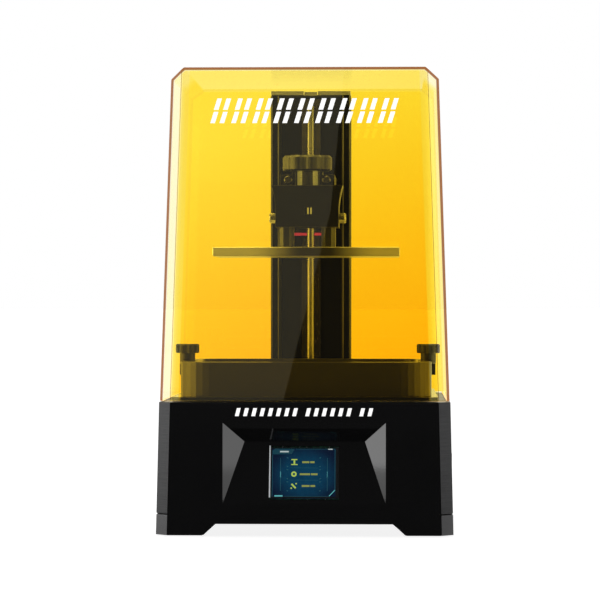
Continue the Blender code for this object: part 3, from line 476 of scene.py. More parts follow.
def grained(finish, scale, dark, pale, roughness, depth, strength):
    """Moulded rubber or plastic with a fine pebbled grain."""
    grain = finish.cells(scale)
    return finish.dressed(
        Base_Color=finish.blend(grain, dark, pale),
        Roughness=finish.range(grain, 0.0, 1.0, *roughness),
        Normal=finish.bump(grain, depth, strength),
    )


def foot_rubber(finish):
    dark, pale = (0.008, 0.008, 0.008), (0.03, 0.03, 0.03)
    return grained(finish, 900.0, dark, pale, (0.75, 0.95), 0.0001, 0.6)


def black_plastic(finish):
    dark, pale = (0.006, 0.006, 0.0065), (0.018, 0.018, 0.019)
    return grained(finish, 1300.0, dark, pale, (0.38, 0.55), 0.00005, 0.4)


def anodised(finish, deep, pale, painted_highlights=()):
    """Sandblasted black aluminium with rubbed edges, and painted highlight lines down its front if
    asked.
    """
    grain = finish.noise(2200.0)
    cloud = finish.noise(14.0)
    wear = finish.times(finish.edges(0.0007), finish.range(cloud, 0.3, 0.6, 0.4, 1.0))
    across = finish.off_middle("X")
    in_front = finish.range(finish.place("Y"), TOWER_FRONT * MM, (TOWER_FRONT + 1) * MM, 1.0, 0.0)
    # Painted highlights: pale lines down the front face, for rounded edges catching the side lights.
    # From here on, wear holds both the rubbed edges and these painted highlights.
    for highlight_place in painted_highlights:
        away = finish.size(finish.minus(across, highlight_place * MM))
        painted_highlight = finish.times(finish.range(away, 0.0004, 0.0008, 1.0, 0.0), in_front)
        wear = finish.larger(wear, painted_highlight)
    base = finish.blend(cloud, (deep, deep, deep * 1.05), (pale, pale, pale * 1.05))
    return finish.dressed(
        Base_Color=finish.blend(wear, base, (0.36, 0.35, 0.33)),
        Metallic=0.75,
        Roughness=finish.vary(grain, 0.3, 0.42),
        Normal=finish.bump(grain, 0.00003, 0.5),
    )


def black_anodised(finish):
    return anodised(finish, 0.009, 0.018)


def tower_anodised(finish):
    return anodised(finish, 0.004, 0.008, TOWER_PAINTED_HIGHLIGHTS)


def vat_anodised(finish):
    """The vat's coating is glossier, so that its round corners catch the side lights."""
    anodised(finish, 0.05, 0.065)
    return finish.dressed(Coat_Weight=0.6, Coat_Roughness=0.22)


def motor_black(finish):
    """Painted motor body with stacked steel plates showing as thin level lines."""
    lines = finish.bands(320.0, "Z")
    return finish.dressed(
        Base_Color=finish.blend(lines, (0.012, 0.012, 0.013), (0.05, 0.05, 0.052)),
        Metallic=0.6,
        Roughness=finish.range(lines, 0.0, 1.0, 0.45, 0.3),
        Normal=finish.bump(lines, 0.0001, 0.5),
    )


def metal(finish, pale, dark, roughness, stretch, wear_colour, wear_share):
    """Machined metal: fine tool lines along one direction, tarnish clouds and brighter edges."""
    lines = finish.noise(120.0, 4.0, 0.65, stretch=stretch)
    cloud = finish.noise(30.0)
    wear = finish.times(finish.edges(0.0006), wear_share)
    shade = finish.vary(finish.times(finish.plus(lines, cloud), 0.5), 0.0, 1.0)
    return finish.dressed(
        Base_Color=finish.blend(wear, finish.blend(shade, dark, pale), wear_colour),
        Metallic=1.0,
        Roughness=finish.vary(lines, roughness - 0.05, roughness + 0.05),
        Normal=finish.bump(lines, 0.00001, 0.3),
    )


def sleeve_steel(finish):
    """Turned steel with a painted highlight, pale and faintly glowing, down each side of a middle
    painted dark as a reflection of the dark front.
    """
    lines = finish.noise(120.0, 4.0, 0.65, stretch=(3.0, 3.0, 14.0))
    # Painted highlight strips at each side, and a painted dark reflection between them.
    across = finish.off_middle("X")
    away = finish.size(finish.minus(across, 0.0074))
    strip = finish.range(away, 0.0018, 0.0028, 1.0, 0.0, smooth=True)
    dark = finish.blend(lines, (0.03, 0.03, 0.03), (0.05, 0.05, 0.05))
    pale = finish.blend(lines, (0.6, 0.6, 0.58), (0.75, 0.75, 0.72))
    return finish.dressed(
        Base_Color=finish.blend(strip, dark, pale),
        Metallic=0.5,
        Roughness=finish.vary(lines, 0.25, 0.35),
        Emission_Color=(0.9, 0.88, 0.8),
        Emission_Strength=finish.times(strip, 0.22),
        Normal=finish.bump(lines, 0.00001, 0.3),
    )


def plate_aluminium(finish):
    """The build plate's brushed edge, with a painted reflection: dark in the middle of its front, where
    it would mirror the dark front, and pale at the ends and on its other faces.
    """
    lines = finish.noise(90.0, 4.0, 0.65, stretch=(1.0, 1.0, 14.0))
    grid = finish.cells(500.0)
    # Painted reflection: the dark front and the side lights that the plate would mirror are put into
    # its base colour.
    across = finish.size(finish.plus(finish.place("X"), -0.008))
    ends = finish.range(across, 0.012, 0.06, smooth=True)
    behind = finish.range(finish.place("Y"), -0.0872, -0.0862)
    ends = finish.larger(ends, behind)
    dark = finish.blend(lines, (0.03, 0.03, 0.03), (0.045, 0.045, 0.045))
    pale = finish.blend(lines, (0.75, 0.75, 0.73), (0.9, 0.9, 0.88))
    wear = finish.times(finish.edges(0.0008), 0.4)
    return finish.dressed(
        Base_Color=finish.blend(wear, finish.blend(ends, dark, pale), (0.5, 0.5, 0.5)),
        Metallic=0.6,
        Roughness=finish.vary(lines, 0.3, 0.4),
        Normal=finish.bump(grid, 0.00004, 0.2, finish.bump(lines, 0.00001, 0.3)),
    )


def satin_trim(finish):
    """Satin silver trim with fine lines along it, and a faint glow as a painted highlight."""
    lines = finish.noise(300.0, 3.0, 0.6, stretch=(8.0, 1.0, 1.0))
    return finish.dressed(
        Base_Color=finish.blend(lines, (0.5, 0.52, 0.54), (0.62, 0.64, 0.65)),
        Metallic=0.1,
        Roughness=finish.vary(lines, 0.35, 0.5),
        # Painted highlight: a faint glow.
        Emission_Color=(0.9, 0.95, 1.0),
        Emission_Strength=0.12,
        Normal=finish.bump(lines, 0.00002, 0.3),
    )


def seal_red(finish):
    grain = finish.noise(700.0)
    return finish.dressed(
        Base_Color=finish.blend(grain, (0.5, 0.02, 0.04), (0.7, 0.045, 0.08)),
        # Painted light: the seal glows a pinkish red, brighter than the lamps alone make it.
        Emission_Color=(0.8, 0.05, 0.8),
        Emission_Strength=0.35,
        Roughness=finish.vary(grain, 0.35, 0.5),
        Normal=finish.bump(grain, 0.00005, 0.4),
    )


def circuit_board(finish):
    """Green solder mask over a net of paler tracks, with small tinned spots."""
    tracks = finish.cells(150.0, "DISTANCE_TO_EDGE", stretch=(1.0, 1.6, 1.0))
    pads = finish.cells(260.0)
    line_share = finish.range(tracks, 0.03, 0.06, 1.0, 0.0)
    pad_share = finish.range(pads, 0.16, 0.2, 1.0, 0.0)
    green = finish.blend(line_share, (0.006, 0.07, 0.03), (0.02, 0.16, 0.07))
    return finish.dressed(
        Base_Color=finish.blend(pad_share, green, (0.5, 0.5, 0.48)),
        Metallic=pad_share,
        Roughness=finish.range(tracks, 0.0, 0.1, 0.3, 0.42),
        Normal=finish.bump(line_share, 0.00004, 0.6),
    )


def ribbon(finish):
    """Flat cable: pale film with a row of fine copper lines along it."""
    wires = finish.bands(300.0, "X")
    return finish.dressed(
        Base_Color=finish.blend(wires, (0.6, 0.58, 0.5), (0.35, 0.22, 0.08)),
        Roughness=finish.range(wires, 0.0, 1.0, 0.45, 0.3),
        Normal=finish.bump(wires, 0.00006, 0.5),
    )


def clear_sheet(finish, tint, gloss, cloudiness):
    """See-through sheet that light passes unbent, with a soft shine on top."""
    clouds = finish.noise(40.0)
    cloudy = finish.blend(clouds, tint, tuple(part * 0.97 for part in tint))
    clear = finish.feed(finish.add("ShaderNodeBsdfTransparent"), Color=cloudy)
    shine = finish.add("ShaderNodeBsdfAnisotropic")
    finish.feed(shine, Roughness=finish.vary(clouds, 0.03, 0.08))
    facing = finish.feed(finish.add("ShaderNodeFresnel"), IOR=gloss)
    share = finish.smaller(finish.larger(facing.outputs[0], cloudiness), 0.3)
    mixed = finish.add("ShaderNodeMixShader")
    finish.join(share, mixed.inputs[0])
    finish.join(clear.outputs[0], mixed.inputs[1])
    finish.join(shine.outputs[0], mixed.inputs[2])
    return finish.show(mixed.outputs[0])


def clear_plastic(finish):
    return clear_sheet(finish, (0.9, 0.92, 0.92), 1.45, 0.06)


def screen_glass(finish):
    return clear_sheet(finish, (0.93, 0.95, 0.96), 1.35, 0.0)


def display(finish):
    """The touch screen's and the mask's liquid crystal: deep blue, lit from within on the front."""
    half_width, half_height, middle = 0.03, 0.024, 0.055
    across = finish.place("X")
    up = finish.place("Z")
    from_side = finish.math("POWER", finish.math("DIVIDE", finish.size(across), half_width), 2.0)
    rise = finish.math("DIVIDE", finish.minus(up, middle), half_height)
    from_middle = finish.plus(from_side, finish.math("POWER", finish.size(rise), 2.0))
    glow = finish.range(from_middle, 0.0, 1.3, 1.0, 0.0, smooth=True)
    cloud = finish.noise(220.0, 4.0)
    weave = finish.noise(2500.0, 2.0, stretch=(1.0, 0.2, 1.0))
    lit = finish.times(glow, finish.vary(cloud, 0.75, 1.1))
    colour = finish.blend(lit, (0.0004, 0.006, 0.024), (0.0004, 0.046, 0.095))
    below_deck = finish.range(up, 0.1, 0.11, 1.0, 0.0)
    return finish.dressed(
        Base_Color=(0.002, 0.003, 0.006),
        Emission_Color=colour,
        Emission_Strength=finish.times(below_deck, finish.vary(weave, 0.9, 1.1)),
        Roughness=finish.vary(cloud, 0.15, 0.25),
    )


def glowing(name, colour, strength):
    """A lit line or sign on the touch screen, slightly uneven like a real display's cells."""
    finish = Finish(name)
    cells = finish.noise(3000.0, 1.0)
    return finish.dressed(
        Base_Color=(0.01, 0.01, 0.01),
        Emission_Color=finish.blend(cells, tuple(part * 0.85 for part in colour), colour),
        Emission_Strength=strength,
        Roughness=finish.vary(cells, 0.4, 0.5),
    )


def print_white(finish):
    """Screen-printed white ink, a touch uneven, with a glow as painted light that makes it brighter."""
    ink = finish.noise(1200.0)
    return finish.dressed(
        Base_Color=finish.blend(ink, (0.86, 0.86, 0.86), (0.95, 0.95, 0.95)),
        # Painted light: the ink glows.
        Emission_Color=(1.0, 1.0, 0.98),
        Emission_Strength=0.45,
        Roughness=finish.vary(ink, 0.45, 0.6),
        Normal=finish.bump(ink, 0.00002, 0.4),
    )


def wall_depths(finish):
    """How far inside each family of the cover's walls a point is, and which way that wall faces."""
    across = finish.off_middle("X")
    along = finish.off_middle("Y")
    up = finish.place("Z")
    lean = finish.times(finish.minus(up, COVER_LOW * MM), COVER_SLOPE)
    from_side = finish.minus(COVER_HALF_X * MM, finish.plus(across, lean))
    from_front = finish.minus(COVER_HALF_Y * MM, finish.plus(along, lean))
    from_top = finish.minus(COVER_HIGH * MM, up)
    bevel_x, bevel_z = bevel_direction()
    offset = ((COVER_HALF_X - COVER_SLOPE * (COVER_SHOULDER - COVER_LOW)) * bevel_x) * MM
    offset += COVER_SHOULDER * bevel_z * MM
    depths = [
        (from_side, (1.0, 0.0, 0.0)),
        (from_front, (0.0, 1.0, 0.0)),
        (from_top, (0.0, 0.0, 1.0)),
    ]
    for side in (-1, 1):
        reach = finish.times(finish.place("X"), side * bevel_x)
        reach = finish.plus(reach, finish.times(up, bevel_z))
        depths.append((finish.minus(offset, reach), (side * bevel_x, 0.0, bevel_z)))
    return depths


def edge_on_share(finish):
    """1 where a wall that is seen edge-on lies right behind the surface, so that it looks brown."""
    geometry = finish.add("ShaderNodeNewGeometry")
    share = 0.0
    for depth, facing in wall_depths(finish):
        edge_on = finish.size(finish.dot(geometry.outputs["Incoming"], facing))
        edge_on = finish.range(edge_on, 0.12, 0.3, 1.0, 0.0, smooth=True)
        near = finish.range(depth, EDGE_DEPTH * 0.85 * MM, EDGE_DEPTH * 1.1 * MM, 1.0, 0.0)
        share = finish.larger(share, finish.times(edge_on, near))
    outside = finish.range(geometry.outputs["Backfacing"], 0.0, 1.0, 1.0, 0.15)
    return finish.times(share, outside)


def side_strips(finish, normal, tint):
    """Pales the front wall along both sides, where the side walls behind it mirror the room."""
    lean = finish.times(finish.minus(finish.place("Z"), COVER_LOW * MM), COVER_SLOPE)
    across = finish.plus(finish.off_middle("X"), lean)
    strip = finish.range(across, SIDE_STRIP * MM, (SIDE_STRIP + 1) * MM)
    strip = finish.times(strip, finish.range(finish.place("Y"), -0.1, -0.09, 1.0, 0.0))
    flat = finish.range(finish.size(normal["Y"]), 0.8, 0.95)
    return finish.blend(finish.times(strip, flat), tint, STRIP_TINT)


def amber_share(finish, normal):
    """How pale the tint is: more so higher up, further left, on the sides and at the right corners;
    further left and at the right corners it is painted light.
    """
    share = finish.range(finish.place("Z"), COVER_LOW * MM, COVER_HIGH * MM)
    share = finish.plus(share, finish.vary(finish.noise(7.0, 2.0), -0.02, 0.1))
    # Painted light: paler further left, the side of the main light and the sheen card.
    share = finish.plus(share, finish.times(finish.place("X"), -1.3))
    side_wall = finish.range(finish.size(normal["X"]), 0.8, 0.95, 0.0, 0.4)
    # Painted light: paler at the right corners, for room light they refract.
    right_corner = finish.range(finish.place("X"), 0.112, 0.128, 0.0, 0.6, smooth=True)
    return finish.plus(share, finish.larger(side_wall, right_corner))


def mirror_share(finish, geometry, normal):
    """1 where the cover's front half or its top is seen nearly edge-on and mirrors the white room."""
    grazing = finish.size(finish.dot(geometry.outputs["Incoming"], geometry.outputs["Normal"]))
    mirrored = finish.range(grazing, 0.05, 0.2, 1.0, 0.0, smooth=True)
    front_half = finish.range(finish.place("Y"), -0.03, 0.03, 1.0, 0.0, smooth=True)
    flat_top = finish.range(finish.size(normal["Z"]), 0.8, 0.95)
    return finish.times(mirrored, finish.larger(front_half, flat_top))


def rounding_shade_share(finish, corner, front):
    """Nearly 1 on the narrow rounded edges beside the front's corner facets, where a darker tint is
    painted shade.
    """
    rounding = finish.range(corner, 0.05, 0.3)
    rounding = finish.times(rounding, finish.range(corner, 0.7, 0.95, 1.0, 0.0))
    return finish.times(finish.times(rounding, front), 0.95)


def amber_gloss(finish, corner):
    """The shine on the acrylic: slightly smeared, and duller on the corner facets."""
    smear = finish.noise(22.0, 4.0)
    fresnel = finish.feed(finish.add("ShaderNodeFresnel"), IOR=1.49)
    strength = finish.smaller(fresnel.outputs[0], 0.06)
    strength = finish.times(strength, finish.range(corner, 0.3, 0.8, 1.0, 0.3))
    gloss = finish.feed(
        finish.add("ShaderNodeBsdfAnisotropic"),
        Color=finish.blend(strength, (0.0, 0.0, 0.0), (1.0, 1.0, 1.0)),
        Roughness=finish.range(smear, 0.35, 0.75, 0.004, 0.014),
    )
    return gloss.outputs[0]


def amber(name, outer):
    """Tinted acrylic. Light passes unbent, tinted at each surface, with the gloss laid on top."""
    finish = Finish(name)
    geometry = finish.add("ShaderNodeNewGeometry")
    normal = finish.parts(geometry.outputs["Normal"])
    corner = finish.times(finish.size(finish.times(normal["X"], normal["Y"])), 2.0)
    behind = geometry.outputs["Backfacing"]
    front = finish.minus(1.0, behind) if outer else behind
    on_facet = finish.times(finish.range(corner, 0.8, 0.95), front)

    tint = finish.blend(amber_share(finish, normal), LOW_TINT, HIGH_TINT)
    tint = side_strips(finish, normal, tint)
    # Painted light: a paler tint on the corner facets.
    tint = finish.blend(on_facet, tint, FACET_PAINTED_LIGHT)
    tint = finish.blend(mirror_share(finish, geometry, normal), tint, MIRROR_TINT)
    if outer:
        # Painted shade: a darker tint on the rounded edges.
        tint = finish.blend(rounding_shade_share(finish, corner, front), tint, ROUNDING_PAINTED_SHADE)
        tint = finish.blend(edge_on_share(finish), tint, EDGE_TINT)
    path = finish.add("ShaderNodeLightPath")
    unseen = finish.larger(path.outputs["Is Shadow Ray"], path.outputs["Is Diffuse Ray"])
    unseen = finish.larger(unseen, path.outputs["Is Glossy Ray"])

    tint = finish.blend(unseen, tint, PALE_TINT)
    clear = finish.feed(finish.add("ShaderNodeBsdfTransparent"), Color=tint)
    both = finish.add("ShaderNodeAddShader")
    finish.join(clear.outputs[0], both.inputs[0])
    finish.join(amber_gloss(finish, corner), both.inputs[1])
    return finish.show(both.outputs[0])


def amber_rim():
    """The cover's sawn lower edge, dark brown, with a painted highlight at its corners, which are pale
    and glow as if gathering light from the whole sheet.
    """
    finish = Finish("amber_rim")
    marks = finish.noise(400.0, 3.0, stretch=(1.0, 1.0, 4.0))
    across = finish.off_middle("X")
    # Painted highlight: pale, glowing corners.
    corner = finish.range(across, 0.104, 0.122, smooth=True)
    dark = finish.blend(marks, (0.03, 0.008, 0.002), (0.06, 0.018, 0.004))
    return finish.dressed(
        Base_Color=finish.blend(corner, dark, (0.95, 0.72, 0.38)),
        Emission_Color=(1.0, 0.72, 0.4),
        Emission_Strength=finish.times(corner, 0.4),
        Roughness=finish.vary(marks, 0.25, 0.45),
        Normal=finish.bump(marks, 0.00005, 0.4),
    )


# Finishes named after the record's material slots, or after the one node that wears them
SLOT_FINISHES = (
    tray_plastic,
    shell_plastic,
    gloss_black,
    foot_rubber,
    screen_glass,
    display,
    circuit_board,
    ribbon,
    black_anodised,
    tower_anodised,
    vat_anodised,
    black_plastic,
    clear_plastic,
    plate_aluminium,
    motor_black,
    seal_red,
)


def made(make):
    """The material that a finish function makes, named after the function."""
    return make(Finish("finish_" + make.__name__))


def soften_frame():
    """Rounds the sharp edges of the larger CAD pieces, so that they catch the light."""
    for name, width in ROUNDED_NODES.items():
        round_edges(NODES[name], width, 12.0, weld=True)


def dress_frame():
    """Gives each CAD node the finish of its material slot, or a finish of its own."""
    finishes = {make.__name__: made(make) for make in SLOT_FINISHES}
    for name, settings in METALS.items():
        finishes[name] = metal(Finish("finish_" + name), *settings)
    for name, node in NODES.items():
        for place in node.material_slots:
            wanted = NODE_FINISHES.get(name, place.material.name)
            if wanted in finishes:
                place.material = finishes[wanted]
    return finishes


# ---- Cover ----


def bevel_direction():
    """Which way the slanted edge along the cover's right side faces, as x and z."""
    across = COVER_CHAMFER + COVER_SLOPE * (COVER_HIGH - COVER_SHOULDER)
    rise = COVER_HIGH - COVER_SHOULDER
    length = math.hypot(across, rise)
    return rise / length, across / length


def cover_ring(shape, height, inset):
    """A ring of the cover's eight-sided outline at a height, moved in by an inset."""
    lean = COVER_SLOPE * (height - COVER_LOW)
    half_x = COVER_HALF_X - lean - inset
    half_y = COVER_HALF_Y - lean - inset
    leg = COVER_CORNER - inset * (2 - math.sqrt(2))
    outline = [(half_x, half_y - leg), (half_x - leg, half_y)]
    outline += [(-x, y) for x, y in reversed(outline)]
    outline += [(-x, -y) for x, y in outline]
    return [shape.verts.new(Vector((x, y, height)) * MM) for x, y in outline]


def cover_skin(shape, inset, slot):
    """One skin of the hood, open below, with the slanted edges along its top's two sides."""
    low = cover_ring(shape, COVER_LOW, inset)
    high = cover_ring(shape, COVER_HIGH - inset, inset)
    faces = []
    for step in range(len(low)):
        after = (step + 1) % len(low)
        faces.append(shape.faces.new((low[step], low[after], high[after], high[step])))
    faces.append(shape.faces.new(high))
    bevel_x, bevel_z = bevel_direction()
    for side in (-1, 1):
        facing = Vector((side * bevel_x, 0, bevel_z))
        half_x = COVER_HALF_X - COVER_SLOPE * (COVER_SHOULDER - COVER_LOW)
        spot = Vector((side * half_x, 0, COVER_SHOULDER)) - facing * inset
        parts = dict.fromkeys(part for face in faces for part in (face, *face.verts, *face.edges))
        result = cut_away(shape, parts, spot, facing)
        cut_edges = [part for part in result["geom_cut"] if isinstance(part, bmesh.types.BMEdge)]
        filled = bmesh.ops.holes_fill(shape, edges=cut_edges, sides=0)["faces"]
        kept = [part for part in result["geom"] if isinstance(part, bmesh.types.BMFace)]
        faces = [face for face in kept if face.is_valid] + filled
    for face in faces:
        face.material_index = slot
    return low


def cover(outer_finish, inner_finish, rim_finish):
    """The tapered amber hood: one closed body of two skins and a rim, with rounded edges."""
    shape = bmesh.new()
    outer_low = cover_skin(shape, 0, 0)
    inner_low = cover_skin(shape, COVER_WALL, 1)
    for step in range(len(outer_low)):
        after = (step + 1) % len(outer_low)
        corners = (outer_low[after], outer_low[step], inner_low[step], inner_low[after])
        shape.faces.new(corners).material_index = 2
    mesh = bpy.data.meshes.new("amber_cover")
    into_mesh(shape, mesh)
    piece = add_mesh("amber_cover", mesh, (outer_finish, inner_finish, rim_finish))
    round_edges(piece, COVER_ROUNDING, 20.0)
    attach(piece, "cover")
    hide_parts("cover_shell")


# ---- Lead screw ----


def thread_points(centre, crest, start, rows):
    """Rows of points along the thread's profile, each row rising by one lead in a full turn."""
    points = []
    for row in range(rows):
        share, depth = THREAD_PROFILE[row % len(THREAD_PROFILE)]
        level = start + (row // len(THREAD_PROFILE) + share) * THREAD_PITCH
        for step in range(THREAD_STEPS):
            x, y = around(centre.x, centre.y, crest - depth, 2 * math.pi * step / THREAD_STEPS)
            points.append((x, y, level + THREAD_LEAD * step / THREAD_STEPS))
    return points


def thread_faces(rows):
    """Faces between neighbouring rows. After a full turn a row meets the one a lead above it."""
    shift = len(THREAD_PROFILE) * THREAD_STARTS
    faces = []
    for row in range(rows - shift - 1):
        for step in range(THREAD_STEPS):
            here = row * THREAD_STEPS + step
            beside = here + 1
            if step + 1 == THREAD_STEPS:
                beside = (row + shift) * THREAD_STEPS
            faces.append((here, beside, beside + THREAD_STEPS, here + THREAD_STEPS))
    return faces


def threaded_rod(material):
    """A two-start trapezoid thread, cut square at both ends."""
    low, high = node_box("lead_screw")
    spare = THREAD_LEAD + 1.0  # thread past each end, cut off below
    start = low.z - spare
    rows = (int((high.z - low.z + 2 * spare) / THREAD_PITCH) + 1) * len(THREAD_PROFILE)
    points = thread_points((low + high) / 2, (high.x - low.x) / 2, start, rows)
    mesh = mesh_of("threaded_rod", points, thread_faces(rows))
    shape = bmesh.new()
    shape.from_mesh(mesh)
    for level, away in ((low.z, -1), (high.z, 1)):
        parts = (*shape.verts, *shape.edges, *shape.faces)
        cut_away(shape, parts, Vector((0, 0, level)), (0, 0, away))
    loose = [point for point in shape.verts if not point.link_faces]
    bmesh.ops.delete(shape, geom=loose, context="VERTS")
    bmesh.ops.remove_doubles(shape, verts=shape.verts, dist=0.002 * MM)
    bmesh.ops.holes_fill(shape, edges=[edge for edge in shape.edges if edge.is_boundary], sides=0)
    into_mesh(shape, mesh)
    piece = add_mesh("threaded_rod", mesh, [material])
    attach(piece, "lead_screw")
    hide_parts("lead_screw")


# ---- White marks ----


def on_cover_front(u, v, w):
    """A place on the cover's front wall: u across, v its height, w outward."""
    low, high = node_box("cover_shell")
    y = -(high.y - COVER_SLOPE * (v - low.z))
    return (u, y + SUNK - w, v)


def on_base_front(u, v, w):
    """A place on the flat frame of the base's front panel."""
    low = node_box("front_panel")[0]
    return (u, low.y + (v - low.z) * BASE_LEAN + SUNK - w, v)


def cover_marks(material):
    """A row of slanted double strokes, split in the middle, where the front carries its print."""
    width, height, slant = 4.2, 10.3, 3.2
    upper, lower, pitch, reach = 391.3, 379.2, 19.0, 4.2
    outlines = []
    for index in range(9):
        centre = (index - 4) * pitch
        for u in (centre - reach, centre + reach):
            outlines.append(bar(u + slant / 2, upper, width, height, slant))
            outlines.append(bar(u - slant / 2, lower, width, height, slant))
    prisms("cover_marks", outlines, PRINT_DEPTH, on_cover_front, material, "cover")


def base_marks(material):
    """Three groups of small slanted ticks under the cover's edge."""
    level, width, height, slant = 112.3, 3.4, 7.2, 1.8
    start, pitch, gap = -60.0, 7.4, 4.4
    outlines = []
    for count in (8, 6, 2):
        for step in range(count):
            outlines.append(bar(start + step * pitch, level, width, height, slant))
        start += count * pitch + gap
    prisms("base_marks", outlines, PRINT_DEPTH, on_base_front, material, "base")


# ---- Touch screen ----


def on_screen(u, v, w):
    """A place on the display: u across, v up its slope from the middle, w towards the viewer."""
    low, high = node_box("display_panel")
    middle = (low + high) / 2
    tilt_y, tilt_z = math.sin(SCREEN_TILT), math.cos(SCREEN_TILT)
    out = DISPLAY_HALF_THICKNESS + w
    u += PICTURE_SHIFT[0]
    v += PICTURE_SHIFT[1]
    return (u, middle.y + v * tilt_y - out * tilt_z, middle.z + v * tilt_z + out * tilt_y)


def rows_of_marks():
    """Small marks at the corners of the three menu rows."""
    marks = []
    for v in (13.4, 5.4, 2.3, -6.1, -9.0, -17.3):
        for u in (-14.8, 14.8):
            marks.append(bar(u, v, 1.3, 0.8, 0.5 if u > 0 else -0.5))
    return marks


def ring(u, v, outer, inner, steps=20):
    """A flat ring as short four-cornered pieces."""
    pieces = []
    for step in range(steps):
        start = 2 * math.pi * step / steps
        end = 2 * math.pi * (step + 1) / steps
        corners = ((outer, start), (outer, end), (inner, end), (inner, start))
        pieces.append([around(u, v, radius, turn) for radius, turn in corners])
    return pieces


def screen_frame():
    """The menu's outer frame, the rails beside its rows and the lines between them."""
    lines = [
        line((-7.3, 21.4), (28.2, 21.4), 0.3),
        line((28.3, 21.2), (28.3, -16.5), 0.5),
        line((-17.6, -22.4), (22.9, -22.4), 0.3),
        line((-28.5, 16.0), (-28.5, -22.6), 0.45),
        line((-21.05, 13.4), (-21.05, -17.3), 0.4),
        line((21.3, 13.4), (21.3, -17.3), 0.4),
    ]
    for v in (4.0, -7.4):
        lines.append(line((-13.0, v), (13.0, v), 0.2))
    return lines


def row_signs():
    """A plain sign for each row: a pillar between two plates, a ring and a slanted stroke."""
    signs = [
        bar(-8.6, 11.7, 5.4, 1.0),
        bar(-8.6, 9.4, 1.5, 3.4),
        bar(-8.6, 7.1, 5.8, 0.9),
        line((-11.0, -10.9), (-7.2, -14.9), 1.5),
        bar(-11.2, -14.8, 1.3, 1.3),
        bar(-6.8, -10.7, 1.2, 1.2),
    ]
    return signs + ring(-8.9, -1.8, 2.5, 1.1)


def row_bars():
    """A bar in two parts for each row, where a menu has its words."""
    height, gap = 1.7, 0.8
    bars = []
    for v, start, end in ((9.3, -1.5, 9.7), (-1.9, -3.6, 12.5), (-12.8, -1.7, 10.4)):
        middle = start + (end - start) * 0.58
        bars.append(bar((start + middle) / 2, v, middle - start, height))
        bars.append(bar((middle + gap + end) / 2, v, end - middle - gap, height))
    return bars


def screen_picture():
    """A plain menu: a frame with a cut corner, three rows, each with a sign and a bar."""
    tab = [(-28.6, 16.5), (-11.0, 16.8), (-8.3, 21.7), (-25.9, 21.9), (-28.6, 20.2)]
    dashes = [bar(24.0, 21.4, 4.0, 0.9), bar(-17.8, 19.1, 8.0, 1.3)]
    glints = [
        line((28.3, -16.6), (23.1, -22.1), 0.75),
        bar(-22.7, -22.0, 7.4, 1.3),
        line((-21.05, 0.6), (-21.05, -4.8), 0.6),
        line((21.3, 0.6), (21.3, -4.8), 0.6),
    ]
    shapes = (
        ("screen_lines", screen_frame(), "glow_dim", (0.01, 0.09, 0.12), 1.0),
        ("screen_tab", [tab], "glow_tab", (0.004, 0.06, 0.09), 0.8),
        ("screen_marks", rows_of_marks(), "glow_teal", (0.02, 0.16, 0.2), 0.6),
        ("screen_glints", glints, "glow_bright", (0.12, 0.5, 0.5), 1.0),
        ("screen_dashes", dashes, "glow_white", (0.55, 0.62, 0.6), 1.0),
        ("screen_signs", row_signs(), "glow_lime", (0.5, 0.65, 0.1), 1.0),
        ("screen_bars", row_bars(), "glow_straw", (0.36, 0.38, 0.08), 0.9),
    )
    for name, outlines, glow, colour, strength in shapes:
        high = 0.1 if name == "screen_dashes" else 0.05  # the dashes lie over the tab
        prisms(name, outlines, high, on_screen, glowing(glow, colour, strength), "base")


def screen_mask(material):
    """The black border printed under the glass, round the lit picture."""
    outlines = [
        bar(-29.4, -0.6, 1.0, 47.2),
        bar(30.6, -0.6, 3.4, 47.2),
        bar(0.0, 22.7, 57.8, 0.6),
        bar(0.0, -23.45, 57.8, 1.5),
    ]

    def place(u, v, w):
        return on_screen(u, v, w + 0.11)

    prisms("screen_mask", outlines, 0.05, place, material, "base")


def bezel_ridge(material):
    """A slim satin strip along the glass's left edge, with a rounded face."""
    half_length, lift, radius, steps = 24.0, 2.35, 0.6, 8
    outline = [around(-30.7, lift, radius, math.pi * step / steps) for step in range(steps + 1)]

    def place(u, w, v):
        return on_screen(u, v - half_length, w)

    prisms("bezel_ridge", [outline], 2 * half_length, place, material, "base")


# ---- Small hardware ----


def on_base_rear(u, v, w):
    """A place on the base's leaning rear wall: u across, v its height, w outward."""
    low, high = node_box("bottom_tray")
    return (u, high.y - (v - low.z) * BASE_LEAN - SUNK + w, v)


def on_tower_rear(u, v, w):
    """A place on the tower's rear panel."""
    return (u, node_box("tower_back_panel")[1].y - SUNK + w, v)


def socket_screws(name, spots, radius, place, material):
    """Low screw heads with a rounded rim and a six-sided socket, set on a wall."""
    rings = ((1.0, 0.0), (1.0, 0.7), (0.88, 1.0), (None, 1.0), (None, 0.35))  # None: the socket
    steps, socket, height = 24, 0.46, radius * 0.55
    points, faces = [], []
    for u, v in spots:
        first = len(points)
        last = first + (len(rings) - 1) * steps
        for share, level in rings:
            for step in range(steps):
                turn = 2 * math.pi * step / steps
                from_corner = turn % (math.pi / 3) - math.pi / 6
                reach = share or socket / math.cos(from_corner)
                points.append(place(*around(u, v, radius * reach, turn), height * level))
        faces.append(tuple(range(first, first + steps)))
        faces.append(tuple(range(last, last + steps)))
        faces += ring_sides(first, steps, len(rings))
    new_piece(name, points, faces, material, "base")


